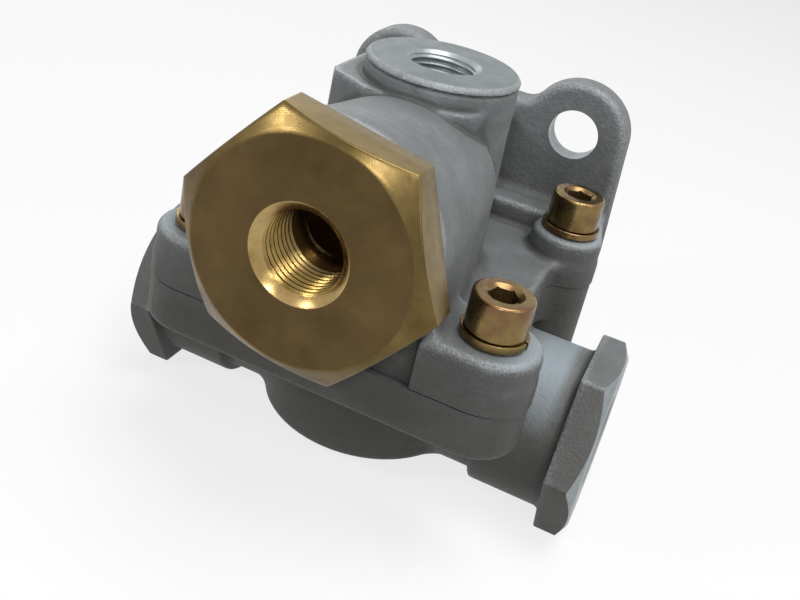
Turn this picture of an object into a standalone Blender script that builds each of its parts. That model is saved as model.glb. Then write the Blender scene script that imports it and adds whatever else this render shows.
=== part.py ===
# Quick exhaust valve with a two-way inlet, for compressed air.
#
# Air enters at the brass adapter on the front or at the port on top. A shuttle in the cover's
# barrel closes whichever inlet has no pressure. Below it a rubber diaphragm closes the exhaust
# seat while air flows out to the two side ports, and lifts off when the inlet is vented.
#
# Frame: X runs through the two side ports, Y points back to the mounting face, Z is up. The
# origin is on the mounting face, midway between the two mounting holes.

import math

import bmesh
import bpy
from mathutils import Euler, Matrix, Vector

MM = 0.001

# Clearances
SEAT_GAP = 0.3 * MM
THREAD_GAP = 0.3 * MM
SLIDE_GAP = 0.4 * MM
SCREW_CLEARANCE = 0.5 * MM

# Mounting plate
HOLE_SPACING = 51.0 * MM
HOLE_DIAMETER = 13.0 * MM
EAR_RADIUS = 13.7 * MM
PLATE_THICKNESS = 6.9 * MM
PLATE_FLARE = 2.0 * MM
PLATE_ROUNDING = 1.8 * MM
SADDLE_RISE = 5.0 * MM
SADDLE_FILLET = 5.0 * MM

# Place of the valve's upright axis and of the parting plane, seen from the mounting holes
AXIS_TO_MOUNT = 53.0 * MM
HOLES_ABOVE_PARTING = 31.6 * MM

# Flanges and their screws
SCREW_SPACING_X = 67.0 * MM
REAR_SCREW_Y = 32.3 * MM
FLANGE_BEHIND_HEX = 5.2 * MM
FRONT_LUG_RADIUS = 10.8 * MM
REAR_LUG_RADIUS = 9.0 * MM
WAIST_FILLET = 6.0 * MM
LUG_HEIGHT = 11.9 * MM
COVER_FLANGE_HEIGHT = 6.0 * MM
COVER_FRONT_STEP = 2.0 * MM
BODY_FLANGE_DEPTH = 11.0 * MM
REAR_LUG_DEPTH = 23.0 * MM
REAR_WALL_THICKNESS = 9.0 * MM
LUG_ROUNDING = 1.6 * MM
SCREW_DIAMETER = 8.0 * MM
SCREW_LENGTH = 25.0 * MM
SCREW_HOLE_DEPTH = 14.0 * MM
SCREW_TIP_CHAMFER = 1.0 * MM
HEAD_DIAMETER = 13.0 * MM
HEAD_HEIGHT = 8.0 * MM
HEAD_CHAMFER = 0.6 * MM
SOCKET_ACROSS_FLATS = 6.0 * MM
SOCKET_DEPTH = 4.0 * MM
WASHER_DIAMETER = 14.4 * MM
WASHER_THICKNESS = 1.6 * MM

# Brass adapter, its reach counted forwards from the valve's upright axis
BARREL_HEIGHT = 27.8 * MM
ADAPTER_REACH = 58.5 * MM
ADAPTER_HEX = 48.6 * MM
ADAPTER_HEX_THICKNESS = 10.2 * MM
ADAPTER_HEX_TURN = 49.8
ADAPTER_FACE_DIAMETER = 45.8 * MM
ADAPTER_CHAMFER_ANGLE = 33.0
ADAPTER_SHANK = 30.0 * MM
ADAPTER_SHANK_LENGTH = 14.0 * MM
ADAPTER_SHANK_CHAMFER = 1.0 * MM
ADAPTER_GROOVE_DEPTH = 1.3 * MM
ADAPTER_MOUTH = 20.0 * MM
ADAPTER_THREAD = 16.4 * MM
ADAPTER_THREAD_DEPTH = 14.0 * MM
ADAPTER_RELIEF = 18.4 * MM
ADAPTER_RELIEF_WIDTH = 2.4 * MM
ADAPTER_BORE = 13.0 * MM
O_RING_SECTION = 2.5 * MM

# Shuttle and its sleeve
SLEEVE_DIAMETER = 27.4 * MM
SLEEVE_WALL = 1.6 * MM
SLEEVE_END_RING = 2.6 * MM
SLEEVE_WINDOW = 12.0 * MM
SEAT_HEIGHT = 1.0 * MM
SEAT_WALL = 2.2 * MM
SHUTTLE_LENGTH = 15.0 * MM
SHUTTLE_TRAVEL = 6.3 * MM
SHUTTLE_DISC = 4.4 * MM
SHUTTLE_WAIST = 12.0 * MM
SEAL_DIAMETER = 18.6 * MM
SEAL_THICKNESS = 2.4 * MM
SEAL_PROUD = 0.7 * MM
REAR_SEAT_BORE = 11.0 * MM

# Barrel, column and top port of the cover
BARREL_FRONT_RADIUS = 24.3 * MM
BARREL_REAR_RADIUS = 20.5 * MM
BARREL_REAR_END = 4.0 * MM
BARREL_ROUNDING = 1.0 * MM
FLANK_INSET = 0.2 * MM
FLANK_DROP = 3.0 * MM
COLUMN_SETBACK = 3.3 * MM
COLUMN_TOP_RADIUS = 17.9 * MM
COLUMN_FOOT_RADIUS = 19.0 * MM
COLUMN_HEIGHT = 52.5 * MM
COLUMN_RIM = 5.4 * MM
COLUMN_RIM_STEP = 0.5 * MM
COLUMN_ROUNDING = 1.2 * MM
COLUMN_FOOT = 4.2 * MM
TOWER_HEIGHT = 46.6 * MM
TOWER_FRONT = 9.0 * MM
TOWER_REAR = 15.0 * MM
TOWER_RIGHT = 14.6 * MM
TOWER_LEFT = 21.6 * MM
TOWER_CORNER = 3.0 * MM
TOWER_ROUNDING = 1.0 * MM
TOWER_FOOT = 2.4 * MM
WEB_THICKNESS = 15.0 * MM
WEB_HEIGHT = 33.0 * MM
WEB_FOOT = 3.6 * MM
TOP_MOUTH = 17.2 * MM
TOP_THREAD = 14.6 * MM
TOP_THREAD_DEPTH = 14.0 * MM
TOP_PASSAGE = 12.4 * MM

# Diaphragm chamber
CHAMBER_RADIUS = 23.5 * MM
COVER_CHAMBER_DEPTH = 3.0 * MM
BODY_CHAMBER_DEPTH = 9.5 * MM
INLET_PASSAGE = 11.0 * MM
INLET_PASSAGE_END = 14.0 * MM
GALLERY_RADIUS = 21.5 * MM
GALLERY_DEPTH = 28.5 * MM
EXHAUST_SEAT_DEPTH = 5.0 * MM
EXHAUST_BORE = 17.0 * MM
EXHAUST_TUBE_WALL = 3.0 * MM
DIAPHRAGM_THICKNESS = 4.4 * MM
DIAPHRAGM_LIP = 2.2 * MM
DIAPHRAGM_HUB = 24.0 * MM
DIAPHRAGM_SLOPE = 2.0 * MM
SEAL_WALL = 2.2 * MM

# Cup and side ports
CUP_RADIUS = 25.4 * MM
CUP_DEPTH = 37.2 * MM
CUP_ROUNDING = 1.6 * MM
SHOULDER_RADIUS = 33.0 * MM
SHOULDER_START = 6.0 * MM
SHOULDER_END = 20.0 * MM
PORT_DEPTH = 22.4 * MM
PORT_REACH = 58.2 * MM
PORT_HEX = 41.4 * MM
PORT_HEX_TURN = 30.0
PORT_HEX_THICKNESS = 7.3 * MM
PORT_FACE_DIAMETER = 41.0 * MM
PORT_CHAMFER_ANGLE = 30.0
NECK_RADIUS = 19.2 * MM
NECK_START = 33.0 * MM
ROOT_RADIUS = 17.2 * MM
PORT_MOUTH = 23.2 * MM
PORT_THREAD = 20.4 * MM
PORT_THREAD_DEPTH = 15.0 * MM
PORT_BORE = 11.6 * MM

# Exhaust flap, its spider and its rivet
FLAP_RECESS_RADIUS = 20.5 * MM
FLAP_RECESS_DEPTH = 6.2 * MM
FLAP_RADIUS = 17.0 * MM
FLAP_THICKNESS = 2.0 * MM
SPIDER_ARMS = 3
SPIDER_ARM_WIDTH = 2.6 * MM
SPIDER_HUB = 9.0 * MM
SPIDER_HEIGHT = 5.0 * MM
RIVET_SHANK = 3.4 * MM
RIVET_HEAD = 9.0 * MM
RIVET_HEAD_HEIGHT = 1.6 * MM
RIVET_HEAD_CHAMFER = 0.5 * MM
RIVET_TAIL = 6.4 * MM
RIVET_TAIL_HEIGHT = 1.0 * MM

# Fineness of the facets, and how far a cutter or a joined shape runs past its face
LARGE_STEPS = 42
MEDIUM_STEPS = 30
SMALL_STEPS = 20
O_RING_STEPS = 8
LUG_STEPS = 10
EAR_STEPS = 14
CORNER_STEPS = 3
FILLET_STEPS = 4
SLIVER = 0.002 * MM
TOUCH = 0.01 * MM
OVERRUN = 4.0 * MM

# Angles in degrees between two faces: one flat face, one drawn outline, a curve, a sharp edge
SAME_PLANE = 0.1
SAME_SIDE = 1.0
SMOOTH_ANGLE = 35.0
SHARP_ANGLE = 50.0

# Distance of a rounded edge's middle from the corner it replaces, along X or Y, per radius
ROUND_MIDDLE = 1.0 - math.sqrt(0.5)

# Places that follow from the sizes above, counted from the upright axis and the parting plane
COVER_UNDERSIDE = SEAT_GAP / 2
BODY_TOP = -SEAT_GAP / 2
SCREW_X = SCREW_SPACING_X / 2
PLATE_FRONT = AXIS_TO_MOUNT - PLATE_THICKNESS
WASHER_SEAT = LUG_HEIGHT + SEAT_GAP
HEAD_SEAT = WASHER_SEAT + WASHER_THICKNESS + SEAT_GAP
O_RING_ROOM = O_RING_SECTION + 2 * SEAT_GAP
ADAPTER_HEX_BACK = -ADAPTER_REACH + ADAPTER_HEX_THICKNESS
FLANGE_FRONT = ADAPTER_HEX_BACK + FLANGE_BEHIND_HEX
FRONT_SCREW_Y = FLANGE_FRONT + FRONT_LUG_RADIUS
ADAPTER_NOSE = ADAPTER_HEX_BACK + ADAPTER_SHANK_LENGTH
ADAPTER_GROOVE_RADIUS = ADAPTER_SHANK / 2 - ADAPTER_GROOVE_DEPTH
BARREL_FACE = ADAPTER_HEX_BACK + SEAT_GAP
FRONT_SEAT = ADAPTER_NOSE + SEAT_HEIGHT
SHUTTLE_FRONT = FRONT_SEAT + SEAT_GAP + SEAL_PROUD
SHUTTLE_REAR = SHUTTLE_FRONT + SHUTTLE_LENGTH
REAR_SEAT = SHUTTLE_REAR + SEAL_PROUD + SHUTTLE_TRAVEL + SEAT_GAP
CHAMBER_END = REAR_SEAT + SEAT_HEIGHT
SLEEVE_SEAT_RADIUS = SLEEVE_DIAMETER / 2 + SEAT_GAP
SLEEVE_INNER_RADIUS = SLEEVE_DIAMETER / 2 - SLEEVE_WALL
SLEEVE_START = ADAPTER_NOSE + SEAT_GAP
SLEEVE_END = CHAMBER_END - SEAT_GAP
SHUTTLE_RADIUS = SLEEVE_INNER_RADIUS - SLIDE_GAP
SEAL_RECESS_DEPTH = SEAL_THICKNESS - SEAL_PROUD + SEAT_GAP
CHAMBER_MIDDLE = (FRONT_SEAT + REAR_SEAT) / 2
DIAPHRAGM_UNDERSIDE = -EXHAUST_SEAT_DEPTH + SEAT_GAP
DIAPHRAGM_RADIUS = CHAMBER_RADIUS - 2 * SLIDE_GAP
EXHAUST_TUBE_RADIUS = EXHAUST_BORE / 2 + EXHAUST_TUBE_WALL
COVER_SEAL_INNER = CHAMBER_RADIUS + SEAL_WALL
COVER_SEAL_DEPTH = O_RING_ROOM - SEAT_GAP
FLAP_SEAT = -CUP_DEPTH + FLAP_RECESS_DEPTH
FLAP_TOP = FLAP_SEAT - SEAT_GAP
FLAP_UNDERSIDE = FLAP_TOP - FLAP_THICKNESS
SPIDER_TOP = FLAP_SEAT + SPIDER_HEIGHT

# Turns that point a shape's local Z along a direction of the valve
UP = Euler((0.0, 0.0, 0.0))
DOWN = Euler((math.pi, 0.0, 0.0))
FRONTWARDS = Euler((math.pi / 2, 0.0, 0.0))
BACKWARDS = Euler((-math.pi / 2, 0.0, 0.0))

# Finishes: colour, roughness and metallic value
ALUMINIUM = ((0.42, 0.44, 0.45), 0.45, 0.85)
BRASS = ((0.55, 0.41, 0.16), 0.32, 1.0)
ZINC = ((0.62, 0.50, 0.24), 0.28, 1.0)
RUBBER = ((0.03, 0.03, 0.03), 0.75, 0.0)
ACETAL = ((0.75, 0.74, 0.70), 0.40, 0.0)
STEEL = ((0.50, 0.50, 0.50), 0.35, 1.0)


def at(x, y, z):
    """World place of a point given from the upright axis and the parting plane."""
    return Vector((x, y - AXIS_TO_MOUNT, z - HOLES_ABOVE_PARTING))


def sideways(side):
    """Turn that points local Z along +X for side 1 and along -X for side -1."""
    return Euler((0.0, side * math.pi / 2, 0.0))


def new_collection(name):
    collection = bpy.data.collections.new(name)
    bpy.context.scene.collection.children.link(collection)
    return collection


def add_tool(name, data, place, turn=UP):
    """Add a shape that cuts or joins others, until finish_part makes it a part."""
    item = bpy.data.objects.new(name, data)
    item.location = place
    item.rotation_euler = turn
    item.display_type = "WIRE"
    item.hide_render = True
    tools.objects.link(item)
    return item


def evaluated_mesh(item):
    """Mesh of an object with its modifiers applied."""
    graph = bpy.context.evaluated_depsgraph_get()
    return bpy.data.meshes.new_from_object(item.evaluated_get(graph))


def clean(mesh):
    """Merge the slivers that joining and cutting leave, and the facets of each flat face."""
    form = bmesh.new()
    form.from_mesh(mesh)
    bmesh.ops.remove_doubles(form, verts=form.verts, dist=SLIVER)
    limit = math.radians(SAME_PLANE)
    bmesh.ops.dissolve_limit(form, angle_limit=limit, verts=form.verts, edges=form.edges)
    form.to_mesh(mesh)
    form.free()
    return mesh


def finish_part(item, finish):
    """Apply a shape's modifiers, move it to the parts and give it its material."""
    if item.modifiers:
        mesh = clean(evaluated_mesh(item))
        item.modifiers.clear()
        item.data = mesh
    if not item.data.materials:
        colour, roughness, metallic = finish
        material = bpy.data.materials.new(item.name)
        material.use_nodes = True
        shader = material.node_tree.nodes["Principled BSDF"]
        shader.inputs["Base Color"].default_value = (*colour, 1.0)
        shader.inputs["Roughness"].default_value = roughness
        shader.inputs["Metallic"].default_value = metallic
        item.data.materials.append(material)
    item.data.shade_smooth()
    item.data.set_sharp_from_angle(angle=math.radians(SMOOTH_ANGLE))
    item.display_type = "TEXTURED"
    item.hide_render = False
    tools.objects.unlink(item)
    parts.objects.link(item)
    return item


def box(name, low, high):
    """Box between two corners given from the upright axis and the parting plane."""
    low = at(*low)
    high = at(*high)
    mesh = bpy.data.meshes.new(name)
    form = bmesh.new()
    bmesh.ops.create_cube(form, size=1.0)
    bmesh.ops.scale(form, vec=high - low, verts=form.verts)
    form.to_mesh(mesh)
    form.free()
    return add_tool(name, mesh, (low + high) / 2)


def cone(name, start_radius, end_radius, length, start, turn=UP, steps=MEDIUM_STEPS):
    """Cone whose first face is centred on start and which runs along local Z."""
    mesh = bpy.data.meshes.new(name)
    form = bmesh.new()
    bmesh.ops.create_cone(
        form,
        cap_ends=True,
        segments=steps,
        radius1=start_radius,
        radius2=end_radius,
        depth=length,
        matrix=Matrix.Translation((0.0, 0.0, length / 2)),
    )
    form.to_mesh(mesh)
    form.free()
    return add_tool(name, mesh, start, turn)


def cylinder(name, radius, length, start, turn=UP, steps=MEDIUM_STEPS):
    return cone(name, radius, radius, length, start, turn, steps)


def turned(name, profile, start, turn=UP, steps=MEDIUM_STEPS, ring=False):
    """Revolve a (radius, height) profile about local Z; a ring's profile closes on itself."""
    mesh = bpy.data.meshes.new(name)
    form = bmesh.new()
    corners = [form.verts.new((radius, 0.0, height)) for radius, height in profile]
    for first, second in zip(corners, corners[1:]):
        form.edges.new((first, second))
    if ring:
        form.edges.new((corners[-1], corners[0]))
    form.to_mesh(mesh)
    form.free()
    item = add_tool(name, mesh, start, turn)
    screw = item.modifiers.new("Turn", "SCREW")
    screw.axis = "Z"
    screw.angle = math.tau
    screw.steps = steps
    screw.render_steps = steps
    screw.use_merge_vertices = True
    screw.merge_threshold = TOUCH
    return item


def bore(name, profile, start, turn, steps=MEDIUM_STEPS):
    """Cutter for a stepped hole: (radius, depth) pairs from its mouth inwards along local Z."""
    mouth_radius = profile[0][0]
    end = profile[-1][1]
    outline = [(0.0, end)] + profile[::-1] + [(mouth_radius, -OVERRUN), (0.0, -OVERRUN)]
    return turned(name, outline, start, turn, steps)


def o_ring(name, inner_radius, centre, turn=UP):
    """Rubber ring of round section that lies outside inner_radius."""
    profile = []
    for step in range(O_RING_STEPS):
        angle = -math.tau * step / O_RING_STEPS
        radius = inner_radius + O_RING_SECTION / 2 * (1 + math.cos(angle))
        profile.append((radius, O_RING_SECTION / 2 * math.sin(angle)))
    return turned(name, profile, centre, turn, ring=True)


def arc(centre_x, centre_y, radius, start, end, steps):
    """Points on an arc, its angles in degrees, with both ends."""
    points = []
    for step in range(steps + 1):
        angle = math.radians(start + (end - start) * step / steps)
        points.append((centre_x + radius * math.cos(angle), centre_y + radius * math.sin(angle)))
    return points


def mirrored(points):
    """Outline closed by the mirror image of its right half."""
    return points + [(-x, y) for x, y in reversed(points)]


def extruded(name, points, thickness, middle, turn=UP):
    """Flat outline with a thickness, centred on middle: a filled curve made into a mesh."""
    curve = bpy.data.curves.new(name, "CURVE")
    curve.dimensions = "2D"
    curve.fill_mode = "BOTH"
    curve.extrude = thickness / 2
    spline = curve.splines.new("POLY")
    spline.points.add(len(points) - 1)
    for point, (across, along) in zip(spline.points, points):
        point.co = (across, along, 0.0, 1.0)
    spline.use_cyclic_u = True
    drawn = add_tool(name + "_outline", curve, (0.0, 0.0, 0.0))
    mesh = evaluated_mesh(drawn)
    bpy.data.objects.remove(drawn, do_unlink=True)
    form = bmesh.new()
    form.from_mesh(mesh)
    bmesh.ops.remove_doubles(form, verts=form.verts, dist=TOUCH)
    bmesh.ops.recalc_face_normals(form, faces=form.faces)
    limit = math.radians(SAME_SIDE)
    bmesh.ops.dissolve_limit(form, angle_limit=limit, verts=form.verts, edges=form.edges)
    form.to_mesh(mesh)
    form.free()
    return add_tool(name, mesh, middle, turn)


def round_edges(item, radius, chosen, steps=2):
    """Round the sharp edges of a shape whose two local ends pass a test."""
    form = bmesh.new()
    form.from_mesh(item.data)
    edges = []
    for edge in form.edges:
        first, second = edge.verts
        if edge.calc_face_angle(0.0) > math.radians(SHARP_ANGLE) and chosen(first.co, second.co):
            edges.append(edge)
    bmesh.ops.bevel(form, geom=edges, offset=radius, segments=steps, profile=0.5, affect="EDGES")
    form.to_mesh(item.data)
    form.free()
    return item


def edges_at(height):
    """Test for the edges that lie at a local height."""
    return lambda first, second: max(abs(first.z - height), abs(second.z - height)) < TOUCH


def upright_edges(first, second):
    """Test for the edges that run along local Z."""
    return abs(first.x - second.x) + abs(first.y - second.y) < TOUCH


def combine(item, others, operation):
    for other in others:
        boolean = item.modifiers.new(operation.title() + " " + other.name, "BOOLEAN")
        boolean.operation = operation
        boolean.solver = "EXACT"
        boolean.object = other
    return item


def hexagon(across_flats, turn):
    """Corners of a hexagon, its first corner at an angle in degrees."""
    return arc(0.0, 0.0, across_flats / math.sqrt(3), turn, turn + 300.0, 5)


def chamfered_hexagon(name, across_flats, corner_turn, thickness, face_diameter, angle, start, turn):
    """Hexagonal prism along local Z whose far face is chamfered down to a circle."""
    limit_radius = across_flats / math.sqrt(3) + OVERRUN
    drop = (limit_radius - face_diameter / 2) * math.tan(math.radians(angle))
    profile = [
        (0.0, thickness),
        (face_diameter / 2, thickness),
        (limit_radius, thickness - drop),
        (limit_radius, -OVERRUN),
        (0.0, -OVERRUN),
    ]
    half_step = Matrix.Rotation(math.radians(corner_turn) + math.pi / LARGE_STEPS, 3, "Z")
    limit_turn = (turn.to_matrix() @ half_step).to_euler()
    limit = turned(name + "_chamfer", profile, start, limit_turn, LARGE_STEPS)
    middle = start + turn.to_matrix() @ Vector((0.0, 0.0, thickness / 2))
    prism = extruded(name, hexagon(across_flats, corner_turn), thickness, middle, turn)
    return combine(prism, [limit], "INTERSECT")


def screw_places():
    """Name, X and Y of each of the four cover screws."""
    places = []
    for row, y in (("front", FRONT_SCREW_Y), ("rear", REAR_SCREW_Y)):
        for side, x in (("left", -SCREW_X), ("right", SCREW_X)):
            places.append((row + "_" + side, x, y))
    return places


def lug_and_waist(screw_y, radius, start):
    """Quarter outline from an angle on a right-hand front screw lug to the waist behind it."""
    fillet_x = SCREW_X + WAIST_FILLET
    fillet_rise = math.sqrt((radius + WAIST_FILLET) ** 2 - WAIST_FILLET ** 2)
    meet = math.degrees(math.atan2(fillet_rise, WAIST_FILLET))
    lug = arc(SCREW_X, screw_y, radius, start, meet, LUG_STEPS)
    waist = arc(
        fillet_x, screw_y + fillet_rise, WAIST_FILLET, meet + 180.0, 180.0, FILLET_STEPS
    )
    return lug + waist[1:]


def flange_outline(inset, start):
    """Plan of a flange with a waist at each port; its front edge meets the lugs at an angle."""
    right_front = lug_and_waist(FRONT_SCREW_Y, FRONT_LUG_RADIUS - inset, start)
    mirrored_rear = lug_and_waist(-REAR_SCREW_Y, REAR_LUG_RADIUS - inset, -90.0)
    right_rear = [(x, -y) for x, y in mirrored_rear]
    return mirrored(right_front + right_rear[::-1])


def front_lug_outline(side):
    """Plan of a front lug of the cover, joined to the barrel's flank."""
    inner = BARREL_REAR_RADIUS - OVERRUN
    step = FLANGE_FRONT + COVER_FRONT_STEP + 2 * SEAT_GAP
    edge = barrel_radius(step) - FLANK_INSET - SEAT_GAP
    points = [(edge, FLANGE_FRONT)]
    points += arc(SCREW_X, FRONT_SCREW_Y, FRONT_LUG_RADIUS, -90.0, 90.0, LUG_STEPS)
    points += [(inner, FRONT_SCREW_Y + FRONT_LUG_RADIUS), (inner, step), (edge, step)]
    return [(side * x, y) for x, y in points]


def rear_block_outline():
    """Plan of the two rear posts of the cover and the wall between them."""
    wall_front = PLATE_FRONT - REAR_WALL_THICKNESS
    meet = math.degrees(math.asin((wall_front - REAR_SCREW_Y) / REAR_LUG_RADIUS))
    right = arc(SCREW_X, REAR_SCREW_Y, REAR_LUG_RADIUS, -180.0 - meet, 0.0, LUG_STEPS)
    plate_side = HOLE_SPACING / 2 + EAR_RADIUS
    right.append((plate_side, PLATE_FRONT + PLATE_THICKNESS / 2))
    return mirrored(right)


def plate_outline():
    """Front view of the mounting plate, its height counted from the mounting holes."""
    ear = HOLE_SPACING / 2
    fillet_rise = SADDLE_RISE + SADDLE_FILLET
    fillet_x = ear - math.sqrt((EAR_RADIUS + SADDLE_FILLET) ** 2 - fillet_rise ** 2)
    meet = math.degrees(math.atan2(fillet_rise, fillet_x - ear))
    right = [(ear + EAR_RADIUS + PLATE_FLARE, -HOLES_ABOVE_PARTING - 3 * OVERRUN)]
    right += arc(ear, 0.0, EAR_RADIUS, 0.0, meet, EAR_STEPS)
    right += arc(fillet_x, fillet_rise, SADDLE_FILLET, meet - 180.0, -90.0, FILLET_STEPS)[1:]
    return mirrored(right)


def make_mounting_plate():
    """Plate with two ears, each with its mounting hole."""
    middle = at(0.0, PLATE_FRONT + PLATE_THICKNESS / 2, HOLES_ABOVE_PARTING)
    plate = extruded("mounting_plate", plate_outline(), PLATE_THICKNESS, middle, FRONTWARDS)
    round_edges(plate, PLATE_ROUNDING, edges_at(PLATE_THICKNESS / 2))
    holes = []
    for side in (-1, 1):
        start = at(side * HOLE_SPACING / 2, PLATE_FRONT - OVERRUN, HOLES_ABOVE_PARTING)
        length = PLATE_THICKNESS + 2 * OVERRUN
        name = "mounting_hole_%d" % side
        holes.append(cylinder(name, HOLE_DIAMETER / 2, length, start, BACKWARDS))
    return combine(plate, holes, "DIFFERENCE")


def barrel_radius(y):
    """Radius of the barrel at a place along it."""
    way = (y + BARREL_REAR_END) / (BARREL_FACE + BARREL_REAR_END)
    return BARREL_REAR_RADIUS + (BARREL_FRONT_RADIUS - BARREL_REAR_RADIUS) * way


def make_barrel():
    """Round barrel that carries the adapter, narrowing towards the column."""
    length = -BARREL_REAR_END - BARREL_FACE
    start = at(0.0, -BARREL_REAR_END, BARREL_HEIGHT)
    barrel = cone(
        "barrel", BARREL_REAR_RADIUS, BARREL_FRONT_RADIUS, length, start, FRONTWARDS, LARGE_STEPS
    )
    return round_edges(barrel, BARREL_ROUNDING, edges_at(length))


def make_barrel_saddle():
    """Straight-sided block under the barrel, narrowing with it."""
    front = FLANGE_FRONT + COVER_FRONT_STEP + SEAT_GAP
    length = -BARREL_REAR_END - front
    height = BARREL_HEIGHT - FLANK_DROP + OVERRUN / 2
    front_half = barrel_radius(front) - FLANK_INSET
    rear_half = BARREL_REAR_RADIUS - FLANK_INSET
    points = mirrored([(front_half, -length / 2), (rear_half, length / 2)])
    middle = at(0.0, front + length / 2, height / 2 - OVERRUN / 2)
    return extruded("barrel_saddle", points, height, middle)


def make_column():
    """Round column with a rim, for the top port."""
    middle = COLUMN_ROUNDING * ROUND_MIDDLE
    profile = [
        (0.0, COLUMN_HEIGHT),
        (COLUMN_TOP_RADIUS - COLUMN_ROUNDING, COLUMN_HEIGHT),
        (COLUMN_TOP_RADIUS - middle, COLUMN_HEIGHT - middle),
        (COLUMN_TOP_RADIUS, COLUMN_HEIGHT - COLUMN_ROUNDING),
        (COLUMN_TOP_RADIUS, COLUMN_HEIGHT - COLUMN_RIM),
        (COLUMN_TOP_RADIUS - COLUMN_RIM_STEP, COLUMN_HEIGHT - COLUMN_RIM - COLUMN_RIM_STEP),
        (COLUMN_FOOT_RADIUS, COLUMN_FOOT),
        (0.0, COLUMN_FOOT),
    ]
    return turned("column", profile, at(0.0, COLUMN_SETBACK, 0.0), UP, LARGE_STEPS)


def make_tower():
    """Square shoulders of the column, longer on the left."""
    low = (-TOWER_LEFT, -TOWER_FRONT, TOWER_FOOT)
    tower = box("tower", low, (TOWER_RIGHT, TOWER_REAR, TOWER_HEIGHT))
    round_edges(tower, TOWER_CORNER, upright_edges, CORNER_STEPS)
    top = (TOWER_HEIGHT - TOWER_FOOT) / 2
    return round_edges(tower, TOWER_ROUNDING, edges_at(top))


def screw_holes(name, diameter, low, high):
    """Cutters for the four screw holes between two heights."""
    holes = []
    for place, x, y in screw_places():
        start = at(x, y, low)
        holes.append(cylinder(name + place, diameter / 2, high - low, start, UP, SMALL_STEPS))
    return holes


def barrel_bore():
    """Bore for the adapter, its O-ring, the sleeve, the rear seat and the way to the column."""
    ring_room = ADAPTER_GROOVE_RADIUS + O_RING_ROOM
    ring_depth = O_RING_ROOM - SEAT_GAP
    thread = ADAPTER_SHANK / 2 + THREAD_GAP
    thread_depth = SLEEVE_START - BARREL_FACE
    chamber_depth = CHAMBER_END - BARREL_FACE
    seat_depth = REAR_SEAT - BARREL_FACE
    seat_bore = REAR_SEAT_BORE / 2
    profile = [
        (ring_room, 0.0),
        (ring_room, ring_depth),
        (thread, ring_depth),
        (thread, thread_depth),
        (SLEEVE_SEAT_RADIUS, thread_depth),
        (SLEEVE_SEAT_RADIUS, chamber_depth),
        (seat_bore + SEAT_WALL, chamber_depth),
        (seat_bore + SEAT_WALL, seat_depth),
        (seat_bore, seat_depth),
        (seat_bore, COLUMN_SETBACK - BARREL_FACE),
    ]
    return bore("barrel_bore", profile, at(0.0, BARREL_FACE, BARREL_HEIGHT), BACKWARDS, LARGE_STEPS)


def top_port_bore():
    thread = TOP_THREAD / 2
    mouth = TOP_MOUTH / 2
    profile = [
        (mouth, 0.0),
        (thread, mouth - thread),
        (thread, TOP_THREAD_DEPTH),
        (TOP_PASSAGE / 2, TOP_THREAD_DEPTH + (TOP_THREAD - TOP_PASSAGE) / 2),
        (TOP_PASSAGE / 2, COLUMN_HEIGHT - BARREL_HEIGHT + TOP_PASSAGE / 2),
    ]
    return bore("top_port_bore", profile, at(0.0, COLUMN_SETBACK, COLUMN_HEIGHT), DOWN)


def inlet_passage():
    """Slanting passage from the shuttle's chamber to the diaphragm's."""
    start = at(0.0, CHAMBER_MIDDLE, BARREL_HEIGHT - SLEEVE_INNER_RADIUS)
    end = at(0.0, -INLET_PASSAGE_END, -OVERRUN)
    turn = (end - start).to_track_quat("Z", "Y").to_euler()
    return cylinder("inlet_passage", INLET_PASSAGE / 2, (end - start).length, start, turn, SMALL_STEPS)


def make_cover():
    """Upper casting: plate, flange, four lugs, barrel and column, with their bores."""
    flange_height = COVER_FLANGE_HEIGHT + OVERRUN
    lug_radius = FRONT_LUG_RADIUS - FLANK_INSET
    start = -math.asin((FRONT_LUG_RADIUS - COVER_FRONT_STEP) / lug_radius)
    flange_points = flange_outline(FLANK_INSET, math.degrees(start))
    flange_middle = at(0.0, 0.0, COVER_FLANGE_HEIGHT - flange_height / 2)
    cover = extruded("valve_cover", flange_points, flange_height, flange_middle)
    round_edges(cover, LUG_ROUNDING / 2, edges_at(flange_height / 2))

    lug_depth = LUG_HEIGHT + 2 * OVERRUN
    lug_middle = at(0.0, 0.0, LUG_HEIGHT - lug_depth / 2)
    outlines = {
        "front_lug_right": front_lug_outline(1),
        "front_lug_left": front_lug_outline(-1),
        "rear_block": rear_block_outline(),
    }
    joined = [make_barrel_saddle(), make_barrel()]
    for name, points in outlines.items():
        lug = extruded(name, points, lug_depth, lug_middle)
        joined.append(round_edges(lug, LUG_ROUNDING, edges_at(lug_depth / 2)))
    web_low = (-WEB_THICKNESS / 2, COLUMN_SETBACK, WEB_FOOT)
    web_high = (WEB_THICKNESS / 2, PLATE_FRONT + PLATE_THICKNESS / 2, WEB_HEIGHT)
    joined += [
        make_mounting_plate(),
        make_column(),
        make_tower(),
        box("web", web_low, web_high),
    ]
    combine(cover, joined, "UNION")

    reach = 2 * AXIS_TO_MOUNT
    cutters = [
        box("below_parting", (-reach, -reach, -reach), (reach, reach, COVER_UNDERSIDE)),
        barrel_bore(),
        top_port_bore(),
        inlet_passage(),
    ]
    chamber = [(CHAMBER_RADIUS, 0.0), (CHAMBER_RADIUS, COVER_CHAMBER_DEPTH)]
    cutters.append(bore("cover_chamber", chamber, at(0.0, 0.0, 0.0), UP, LARGE_STEPS))
    hole = SCREW_DIAMETER + 2 * SCREW_CLEARANCE
    cutters += screw_holes("cover_hole_", hole, -OVERRUN, LUG_HEIGHT + OVERRUN)
    combine(cover, cutters, "DIFFERENCE")
    return finish_part(cover, ALUMINIUM)


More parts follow.
